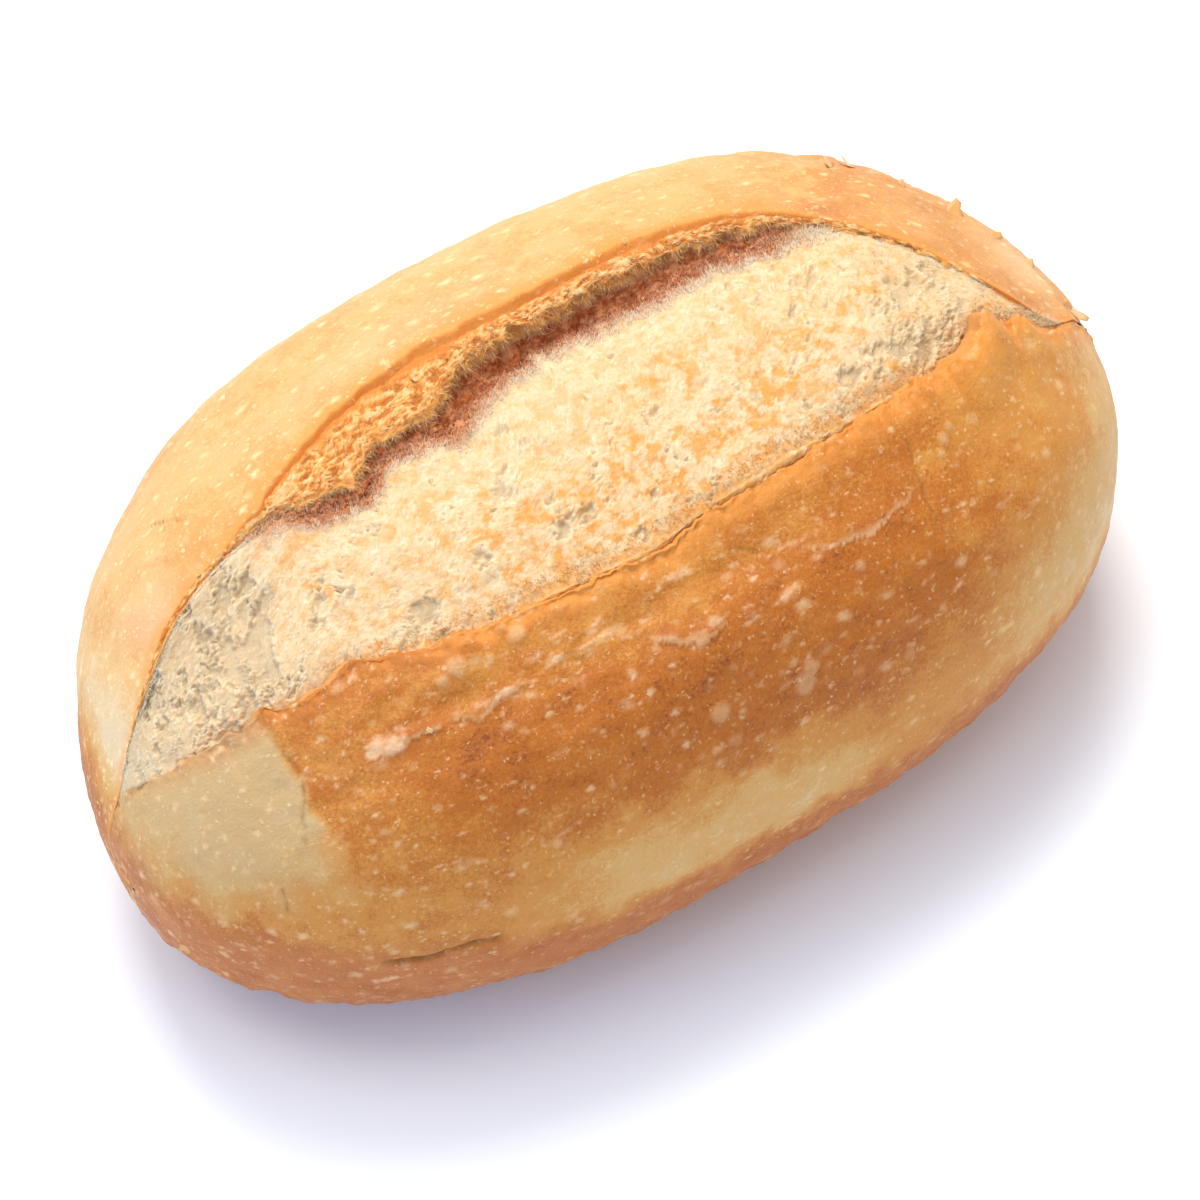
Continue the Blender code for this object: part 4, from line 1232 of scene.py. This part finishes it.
def add_flakes(near, far, lip_sheet, material):
    """Loose flakes: pale thin ones on the fold below the near edge and here and there on the crust, and tan
    ones that lie over one another on the torn top of the lip."""
    random = np.random.default_rng(7)
    lip, lip_fields = lip_sheet
    fold = (patch(near, (-34, -20.5, 42.5), (8, 2.2, 4)) + patch(near, (-16, -23, 44.8), (9, 2.2, 4))
            + 0.6 * patch(near, (-4, -27, 42.5), (6, 3, 4)) + 0.02 * fade(near[..., 2], 16, 22))
    shoulder = (0.05 * fade(far[..., 2], 24, 30) + patch(far, (50, 8, 32), (9, 9, 7)) * 0.25
                + patch(far, (-36, 21, 39), (10, 5, 5)) * 0.25)
    torn = lip_fields["torn_top"] * (1 - lip_fields["crease"]) * fade(np.abs(lip[..., 0]), 44, 38)
    kinds = (  # sheet, weight, count, way, sizes, greatest lift, how pale
        (near, fold, 16, (0.3, -0.7, -0.6), (0.2, 0.5), 0.06, 0.3),
        (far, shoulder, 24, (-0.5, 0.5, -0.3), (0.2, 0.6), 0.1, 0.8),
        (lip, torn, 260, (-0.2, -0.9, 0.2), (0.1, 0.36), 0.14, 0.45),
    )
    sets, pale = [], []
    for sheet, weight, count, way, (least, largest), lift, tone in kinds:
        roots, normals, _ = picked(random, sheet, weight, count)
        ways = np.array(way) + random.normal(0, 0.35, roots.shape)
        sizes = least + (largest - least) * random.uniform(0, 1, count) ** 2
        lifts = lift * random.uniform(0.2, 1, count)
        sets.append((roots, normals, ways, sizes, lifts, 1 + random.normal(0, 0.22, (count, FLAKE_SIDES))))
        pale.append(np.clip(tone + random.normal(0, 0.2, count), 0, 1))
    for crust, place, way, size, lift, tone in STANDING_FLAKES:
        sheet = near if crust == "near" else far
        nearest = [np.linalg.norm(sheet - np.array(place, float), axis=-1).argmin()]
        sets.append((sheet.reshape(-1, 3)[nearest], outward(sheet).reshape(-1, 3)[nearest],
                     np.array([way], float), np.array([size]), np.array([lift]),
                     1 + random.normal(0, 0.2, (1, FLAKE_SIDES))))
        pale.append(np.array([tone]))
    points, quads, triangles = flakes(*(np.concatenate(column) for column in zip(*sets)))
    pale = np.concatenate(pale)
    fields = {"pale": np.repeat(pale, len(points) // len(pale))}
    return add_piece("crust_flakes", points, quads, triangles, material, "crust", fields)


# ------------------------------------------------------------------------------------------------
# Finishes
# ------------------------------------------------------------------------------------------------


def linear(red, green, blue):
    """A colour given as 0 to 255 on a screen, as the linear values that shaders take."""
    c = np.array([red, green, blue]) / 255
    c = np.where(c <= 0.04045, c / 12.92, ((c + 0.055) / 1.055) ** 2.4)
    return (*(float(v) for v in c), 1.0)


class Nodes:
    """Short hand for building one node tree."""

    def __init__(self, tree):
        self.tree = tree

    def add(self, kind, inputs=None, **settings):
        made = self.tree.nodes.new(kind)
        for setting, value in settings.items():
            setattr(made, setting, value)
        for socket, value in (inputs or {}).items():
            self.give(value, made.inputs[socket])
        return made

    def math(self, operation, a, b=0.0, clamp=False):
        return self.add("ShaderNodeMath", {0: a, 1: b}, operation=operation, use_clamp=clamp).outputs[0]

    def times(self, a, b, clamp=False):
        return self.math("MULTIPLY", a, b, clamp)

    def plus(self, a, b, clamp=False):
        return self.math("ADD", a, b, clamp)

    def minus(self, a, b):
        return self.math("SUBTRACT", a, b)

    def larger(self, a, b):
        return self.math("MAXIMUM", a, b)

    def give(self, value, socket):
        """The value set on a socket, or linked to it."""
        if isinstance(value, bpy.types.NodeSocket):
            self.tree.links.new(value, socket)
        else:
            socket.default_value = value

    def mix(self, amount, a, b, blend="MIX"):
        made = self.add("ShaderNodeMix", data_type="RGBA", blend_type=blend, clamp_factor=True)
        for socket, value in ((0, amount), (6, a), (7, b)):
            self.give(value, made.inputs[socket])
        return made.outputs[2]

    def ramp(self, amount, stops):
        made = self.add("ShaderNodeValToRGB", {0: amount})
        made.color_ramp.interpolation = "EASE"
        for i, (place, colour) in enumerate(stops):
            stop = made.color_ramp.elements[i] if i < 2 else made.color_ramp.elements.new(place)
            stop.position, stop.color = place, colour
        return made.outputs[0]

    def fade(self, value, start, end):
        return self.add("ShaderNodeMapRange", {0: value, 1: start, 2: end, 3: 0.0, 4: 1.0},
                        interpolation_type="SMOOTHSTEP").outputs[0]

    def noise(self, at, scale, detail=3.0, roughness=0.5):
        return self.add("ShaderNodeTexNoise", {"Vector": at, "Scale": scale, "Detail": detail,
                                               "Roughness": roughness}).outputs["Fac"]

    def uneven(self, at, scale, detail, roughness, strength):
        """Noise about 0, times the strength."""
        return self.times(self.minus(self.noise(at, scale, detail, roughness), 0.5), strength)

    def field(self, name):
        return self.add("ShaderNodeAttribute", attribute_name=name).outputs["Fac"]


def group_of(name, inputs, outputs, build):
    """A node group with the named inputs (name, kind, value) and outputs (name, kind), filled by build."""
    group = bpy.data.node_groups.new(name, "ShaderNodeTree")
    for label, kind, value in inputs:
        group.interface.new_socket(label, in_out="INPUT", socket_type=kind).default_value = value
    for label, kind in outputs:
        group.interface.new_socket(label, in_out="OUTPUT", socket_type=kind)
    nodes = Nodes(group)
    results = build(nodes, nodes.add("NodeGroupInput").outputs)
    end = nodes.add("NodeGroupOutput")
    for label, value in results.items():
        group.links.new(value, end.inputs[label])
    return group


def build_millimetres(nodes, given):
    """Object coordinates in millimetres, drawn out along the roll by the factor Drawn Out."""
    at = nodes.add("ShaderNodeTexCoord").outputs["Object"]
    scaled = nodes.add("ShaderNodeVectorMath", {0: at, "Scale": 1 / MM}, operation="SCALE").outputs[0]
    parts = nodes.add("ShaderNodeSeparateXYZ", {0: scaled})
    short = nodes.math("DIVIDE", parts.outputs[0], given["Drawn Out"])
    joined = nodes.add("ShaderNodeCombineXYZ", {0: short, 1: parts.outputs[1], 2: parts.outputs[2]})
    return {"Place": joined.outputs[0]}


def build_specks(nodes, given):
    """Small pale spots, one at most in each cell of a random tiling, with soft edges."""
    place = given["Place"]
    bent = nodes.add("ShaderNodeTexNoise", {"Vector": place, "Scale": 1.8, "Detail": 3.0}).outputs["Color"]
    moved = nodes.add("ShaderNodeVectorMath", {0: bent, 1: (0.5, 0.5, 0.5)}, operation="SUBTRACT").outputs[0]
    moved = nodes.add("ShaderNodeVectorMath", {0: moved, "Scale": 0.9}, operation="SCALE").outputs[0]
    at = nodes.add("ShaderNodeVectorMath", {0: place, 1: moved}, operation="ADD").outputs[0]
    cells = nodes.add("ShaderNodeTexVoronoi", {"Vector": at, "Scale": given["Cells"]})
    parts = nodes.add("ShaderNodeSeparateColor", {0: cells.outputs["Color"]})
    chosen = nodes.math("LESS_THAN", parts.outputs[0], given["Chance"])
    size = nodes.times(parts.outputs[1], given["Size"])
    spot = nodes.fade(cells.outputs["Distance"], size, nodes.times(size, 0.05))
    strength = nodes.plus(nodes.times(parts.outputs[2], 0.7), 0.3)
    return {"Mask": nodes.times(nodes.times(chosen, strength), spot)}


def make_groups():
    vector, number = "NodeSocketVector", "NodeSocketFloat"
    drawn_out = [("Drawn Out", number, 1.0)]
    place = ("Place", vector, (0, 0, 0))
    scattered = [place, ("Cells", number, 1.0), ("Chance", number, 0.5), ("Size", number, 0.4)]
    return {
        "millimetres": group_of("millimetres", drawn_out, [("Place", vector)], build_millimetres),
        "specks": group_of("specks", scattered, [("Mask", number)], build_specks),
    }


def start_material(name):
    material = bpy.data.materials.new(name)
    material.use_nodes = True
    nodes = Nodes(material.node_tree)
    return material, nodes, material.node_tree.nodes["Principled BSDF"]


def set_plain(surface, **values):
    """Constants on the shader's own sockets, with _ for each space in a socket's name."""
    for label, value in values.items():
        surface.inputs[label.replace("_", " ")].default_value = value


def soften(surface, weight, reach, radius):
    """Light that enters a surface and comes out again within a reach in millimetres."""
    set_plain(surface, Subsurface_Weight=weight, Subsurface_Scale=reach * MM, Subsurface_Radius=radius)


def roughen(nodes, surface, height):
    """Fine bumps on a surface, of a height in millimetres."""
    bump = nodes.add("ShaderNodeBump", {"Strength": 1.0, "Distance": MM, "Height": height})
    nodes.give(bump.outputs[0], surface.inputs["Normal"])


def place_in(nodes, groups, drawn_out):
    made = nodes.add("ShaderNodeGroup", node_tree=groups["millimetres"])
    made.inputs["Drawn Out"].default_value = drawn_out
    return made.outputs["Place"]


def specks_in(nodes, groups, place, cells, chance, size):
    made = nodes.add("ShaderNodeGroup", node_tree=groups["specks"])
    for label, value in (("Place", place), ("Cells", cells), ("Chance", chance), ("Size", size)):
        nodes.give(value, made.inputs[label])
    return made.outputs["Mask"]


IVORY = linear(218, 192, 148)
GOLD = linear(214, 166, 96)
AMBER = linear(206, 138, 58)
CHESTNUT = linear(182, 102, 28)
UMBER = linear(138, 68, 22)
ORANGE = linear(230, 146, 62)
ROSE = linear(190, 114, 64)
PEACH = linear(230, 180, 136)
SALLOW = linear(190, 156, 108)
# the pinkish white of the scuffs, lightened as a painted sheen
SCUFF_AND_SHEEN = linear(250, 206, 160)
CREAM = linear(244, 216, 160)
BLISTER = linear(242, 210, 160)
CRACK = linear(132, 90, 40)
TORN = linear(214, 150, 82)
CRUMB = linear(232, 205, 162)
FLECK = linear(236, 178, 102)
HOLLOW_SHADE = linear(205, 177, 137)
TOAST = linear(232, 164, 84)
RIM = linear(242, 226, 190)
# Painted shade: the pinkish penumbra at the brow of the crumb and the mottled browns deep in the cavity
SHADED = linear(208, 158, 122)
CAVITY_SHADE_BROWN = linear(184, 98, 44)
CAVITY_SHADE_PALE = linear(226, 154, 102)


def crust_material(name, groups, speck_colour, speck_strength, rosy_colour, roughness):
    """Baked crust: made brown by the bake field with mottling, pinkish where rosy, orange along its edge,
    with pale flecks and blisters, scuffs painted lighter as a pinkish sheen, dark pin holes and cracks, and a
    grain of fine bumps."""
    material, nodes, surface = start_material(name)
    place = place_in(nodes, groups, 1.5)
    even = place_in(nodes, groups, 1.0)
    mottled = nodes.uneven(place, 0.45, 5.0, 0.65, 0.3)
    grained = nodes.uneven(even, 2.4, 6.0, 0.85, 0.8)
    bake = nodes.plus(nodes.plus(nodes.field("bake"), mottled), grained, clamp=True)
    colour = nodes.ramp(bake, [(0.0, IVORY), (1.0, UMBER), (0.3, GOLD), (0.56, AMBER), (0.82, CHESTNUT)])
    colour = nodes.mix(nodes.times(nodes.field("rosy"), 0.7), colour, rosy_colour)
    colour = nodes.mix(nodes.field("sallow"), colour, SALLOW)
    colour = nodes.mix(nodes.times(nodes.field("edge"), 0.85), colour, ORANGE)
    specks = nodes.larger(specks_in(nodes, groups, place, 0.5, 0.5, 0.5),
                        nodes.larger(specks_in(nodes, groups, place, 0.95, 0.65, 0.55),
                                   specks_in(nodes, groups, even, 2.0, 0.45, 0.6)))
    raised_spots = nodes.larger(specks, nodes.field("pale"))
    colour = nodes.mix(nodes.times(raised_spots, speck_strength), colour, speck_colour)
    # painted sheen: the scuffs along the fold are made lighter and pinker where the fold catches the light
    colour = nodes.mix(nodes.times(nodes.field("scuffs_and_sheen"), 0.62), colour, SCUFF_AND_SHEEN)
    holes = specks_in(nodes, groups, even, 0.34, 0.4, 0.07)
    dark = nodes.larger(nodes.field("crack"), nodes.times(holes, 0.7))
    colour = nodes.mix(dark, colour, CRACK)
    colour = nodes.mix(nodes.field("inside"), colour, TORN)
    nodes.give(colour, surface.inputs["Base Color"])
    height = nodes.plus(nodes.times(nodes.noise(even, 2.6, 5.0, 0.62), 0.13),
                        nodes.times(specks, 0.03))
    height = nodes.minus(height, nodes.times(dark, 0.1))
    roughen(nodes, surface, height)
    gloss = nodes.plus(nodes.times(nodes.noise(even, 1.1, 3.0), 0.3), roughness)
    nodes.give(nodes.plus(gloss, nodes.times(nodes.field("inside"), 0.3)), surface.inputs["Roughness"])
    set_plain(surface, Specular_IOR_Level=0.28)
    soften(surface, 0.1, 0.7, (1.0, 0.5, 0.25))
    return material


def crumb_material(groups):
    """Torn crumb: cream with golden flecks and toasted patches; painted shade greys it in the hollows of the
    bubbles and over the -X end, painted light brightens their rims, painted shade turns it pinkish and then
    brown deep in the cavity, and it is fuzzy from two sizes of bumps, with painted shade and light on the
    fuzz."""
    material, nodes, surface = start_material("crumb")
    place = place_in(nodes, groups, 1.0)
    fuzz = nodes.noise(place, 3.0, 6.0, 0.72)
    patchy = nodes.uneven(place, 1.1, 6.0, 0.72, 1.1)
    flecks = nodes.fade(nodes.noise(place, 1.0, 8.0, 0.82), 0.43, 0.64)
    colour = nodes.mix(nodes.times(flecks, 0.7), CRUMB, FLECK)
    toast = nodes.times(nodes.field("toast"), nodes.plus(patchy, 1.0), clamp=True)
    colour = nodes.mix(toast, colour, TOAST)
    # painted light: the rims of the bubbles made lighter
    colour = nodes.mix(nodes.times(nodes.field("rim"), 0.5), colour, RIM)
    # painted shade in the hollows of the bubbles and over the -X end
    colour = nodes.mix(nodes.field("deep"), colour, HOLLOW_SHADE)
    # painted shade of the cavity
    colour = painted_cavity_shade(nodes, place, colour)
    # painted shade and light on the fuzz
    colour = shaded_by(nodes, fuzz, colour, 0.88, 1.05)
    nodes.give(colour, surface.inputs["Base Color"])
    height = nodes.plus(nodes.times(fuzz, 0.2), nodes.times(nodes.noise(place, 8.0, 4.0), 0.05))
    height = nodes.times(height, nodes.minus(1.0, nodes.times(nodes.field("deep"), 0.5)))
    roughen(nodes, surface, height)
    set_plain(surface, Roughness=0.85, Specular_IOR_Level=0.2)
    soften(surface, 0.6, 1.0, (1.0, 0.8, 0.6))
    return material


def painted_cavity_shade(nodes, place, colour):
    """Painted shade of the cavity: the colour turned pinkish and then mottled brown the deeper the point lies
    in it.
    """
    spotted = nodes.noise(place, 0.7, 5.0, 0.7)
    depth = nodes.plus(nodes.field("cavity"), nodes.times(nodes.minus(spotted, 0.5), 0.7))
    brown = nodes.mix(nodes.fade(spotted, 0.42, 0.6), CAVITY_SHADE_BROWN, CAVITY_SHADE_PALE)
    colour = nodes.mix(nodes.fade(depth, 0.08, 0.45), colour, SHADED)
    return nodes.mix(nodes.fade(depth, 0.3, 0.75), colour, brown)


def shaded_by(nodes, fuzz, colour, low, high):
    """Painted shade and light: the colour made darker where the fuzz is low and lighter where it is high."""
    shade = nodes.add("ShaderNodeMapRange", {0: fuzz, 1: 0.3, 2: 0.7, 3: low, 4: high}).outputs[0]
    grey = nodes.add("ShaderNodeCombineColor", {0: shade, 1: shade, 2: shade}).outputs[0]
    return nodes.mix(1.0, colour, grey, "MULTIPLY")


def lip_material(groups):
    """The torn lip: an orange crease, a tan flaky top, lighter on its high flakes and darker in the gaps as
    painted light and shade, yellow-brown fuzz below it, and the wall of the cavity in painted shade, pinkish
    and then brown."""
    material, nodes, surface = start_material("torn_lip")
    place = place_in(nodes, groups, 1.8)
    even = place_in(nodes, groups, 1.0)
    fuzz = nodes.noise(even, 3.0, 6.0, 0.72)
    patchy = nodes.noise(place, 1.1, 6.0, 0.7)
    # painted light: the high flakes of the torn top made lighter
    lit = nodes.plus(nodes.times(nodes.field("high"), 0.75), nodes.minus(patchy, 0.5), clamp=True)
    top = nodes.ramp(lit, [(0.05, linear(214, 126, 50)), (0.85, linear(252, 214, 156)),
                           (0.3, linear(234, 156, 76)), (0.55, linear(246, 186, 110))])
    below = nodes.ramp(patchy, [(0.3, linear(255, 194, 104)), (0.7, linear(236, 152, 74))])
    colour = nodes.mix(nodes.field("torn_top"), below, top)
    colour = nodes.mix(nodes.field("crease"), colour, linear(236, 142, 62))
    # painted shade in the gaps between the flakes
    colour = nodes.mix(nodes.times(nodes.field("gap"), 0.7), colour, linear(176, 130, 66))
    # painted shade of the cavity on the torn wall and under the lip
    colour = painted_cavity_shade(nodes, even, colour)
    # painted shade and light on the fuzz
    colour = shaded_by(nodes, fuzz, colour, 0.86, 1.06)
    nodes.give(colour, surface.inputs["Base Color"])
    height = nodes.minus(nodes.times(fuzz, 0.3), nodes.times(nodes.field("gap"), 0.2))
    roughen(nodes, surface, height)
    set_plain(surface, Roughness=0.8, Specular_IOR_Level=0.25)
    soften(surface, 0.35, 0.9, (1.0, 0.7, 0.45))
    return material


def fibre_material():
    """Thin crumb fibres: cream on the bed, golden brown under the lip, pinkish at the brow and brown in the
    cavity, the last two as painted shade.
    """
    material, nodes, surface = start_material("crumb_fibres")
    colour = nodes.ramp(nodes.field("brown_and_shade"), [(0.0, RIM), (1.0, linear(172, 88, 52)),
                                                 (0.24, linear(232, 196, 154)), (0.45, linear(232, 182, 108)),
                                                 (0.75, linear(214, 144, 94))])
    nodes.give(colour, surface.inputs["Base Color"])
    set_plain(surface, Roughness=0.8, Specular_IOR_Level=0.2)
    soften(surface, 0.4, 0.6, (1.0, 0.7, 0.45))
    return material


def flake_material():
    """Thin flakes of crust, from the orange of the tear to pale cream."""
    material, nodes, surface = start_material("crust_flakes")
    colour = nodes.mix(nodes.field("pale"), linear(222, 142, 70), linear(236, 196, 140))
    nodes.give(colour, surface.inputs["Base Color"])
    set_plain(surface, Roughness=0.5, Specular_IOR_Level=0.4)
    soften(surface, 0.3, 0.6, (1.0, 0.6, 0.35))
    return material


# ------------------------------------------------------------------------------------------------
# Table, light and camera
# ------------------------------------------------------------------------------------------------


TABLE_RADIUS = 4.0
TABLE_CORNERS = 96
LIGHT_DISTANCE = 1.2
WARM_WHITE = (1.0, 0.99, 0.965)
WHITE = (1.0, 1.0, 1.0)
SKY_BLUE = (0.3, 0.88, 1.9)
SOFTBOXES = (  # (name, direction seen from the roll, size, power, colour)
    ("key", (0.17, 0.47, 0.86), 0.6, 11.6, WARM_WHITE),
    ("side", (-0.42, 0.25, 0.87), 0.5, 2.3, WARM_WHITE),
    ("window", (-0.85, 0.0, 0.45), 0.6, 2.9, SKY_BLUE),
    ("top", (0.0, 0.12, 1.0), 1.0, 4.2, WHITE),
    ("front", (0.05, -0.5, 0.8), 1.0, 1.6, WHITE),
)


def add_table():
    """A wide white table top, round, just under the roll."""
    turn = np.linspace(0, 2 * np.pi, TABLE_CORNERS + 1)[:-1]
    rim = [(TABLE_RADIUS * np.cos(a), TABLE_RADIUS * np.sin(a), LOW.z) for a in turn]
    mesh = bpy.data.meshes.new("table")
    faces = [(0, i, i % TABLE_CORNERS + 1) for i in range(1, TABLE_CORNERS + 1)]
    mesh.from_pydata([(0, 0, LOW.z)] + rim, [], faces)
    material, _, surface = start_material("table")
    set_plain(surface, Base_Color=(0.93, 0.93, 0.93, 1), Roughness=0.9, Specular_IOR_Level=0.1)
    mesh.materials.append(material)
    table = bpy.data.objects.new("table", mesh)
    bpy.context.scene.collection.objects.link(table)


def add_softbox(name, direction, size, power, colour):
    """A square soft light that shines at the roll from a direction."""
    light = bpy.data.lights.new(name, "AREA")
    light.size, light.energy, light.color = size, power, colour
    lamp = bpy.data.objects.new(name, light)
    away = Vector(direction).normalized()
    lamp.location = away * LIGHT_DISTANCE
    lamp.rotation_euler = away.to_track_quat("Z", "Y").to_euler()
    bpy.context.scene.collection.objects.link(lamp)


def add_light():
    world = bpy.data.worlds.new("studio")
    world.use_nodes = True
    background = world.node_tree.nodes["Background"]
    background.inputs["Color"].default_value = (0.94, 0.98, 1.07, 1)
    background.inputs["Strength"].default_value = 0.5
    bpy.context.scene.world = world
    for softbox in SOFTBOXES:
        add_softbox(*softbox)


CAMERA_AZIMUTH = np.radians(-34)
CAMERA_ELEVATION = np.radians(56)
CAMERA_DISTANCE = 0.6
CAMERA_LENS = 173.24
CAMERA_SENSOR = 36
SEES_UP_TO = 20
CAMERA_AIM = (0.9, -5.9, 0.0)  # millimetres to the right of the roll's middle, above it and towards it
AIM_HEIGHT = 24.6


def add_camera():
    a, e = CAMERA_AZIMUTH, CAMERA_ELEVATION
    right = Vector((np.cos(a), np.sin(a), 0))
    back = Vector((np.sin(a) * np.cos(e), -np.cos(a) * np.cos(e), np.sin(e)))
    up = back.cross(right)
    aim = Vector((0, SHIFT * MM, AIM_HEIGHT * MM)) + (right * CAMERA_AIM[0] + up * CAMERA_AIM[1]) * MM
    camera = bpy.data.objects.new("camera", bpy.data.cameras.new("camera"))
    camera.data.sensor_width = CAMERA_SENSOR
    camera.data.lens = CAMERA_LENS
    camera.data.clip_end = SEES_UP_TO
    camera.matrix_world = Matrix((right, up, back)).transposed().to_4x4()
    camera.location = aim + back * CAMERA_DISTANCE
    bpy.context.scene.collection.objects.link(camera)
    bpy.context.scene.camera = camera


def build():
    bpy.context.scene.view_settings.view_transform = "Standard"
    groups = make_groups()
    near = add_near_crust(crust_material("near_crust", groups, BLISTER, 0.55, ROSE, 0.36))
    far = add_far_crust(crust_material("far_crust", groups, CREAM, 0.85, PEACH, 0.4))
    crumb_sheet = add_crumb(crumb_material(groups))
    lip_sheet = add_lip(lip_material(groups))
    fuzzy = fibre_material()
    add_fibres(crumb_sheet, lip_sheet, fuzzy)
    add_fuzz(crumb_sheet, lip_sheet, fuzzy)
    add_flakes(near, far, lip_sheet, flake_material())
    add_table()
    add_light()
    add_camera()


build()
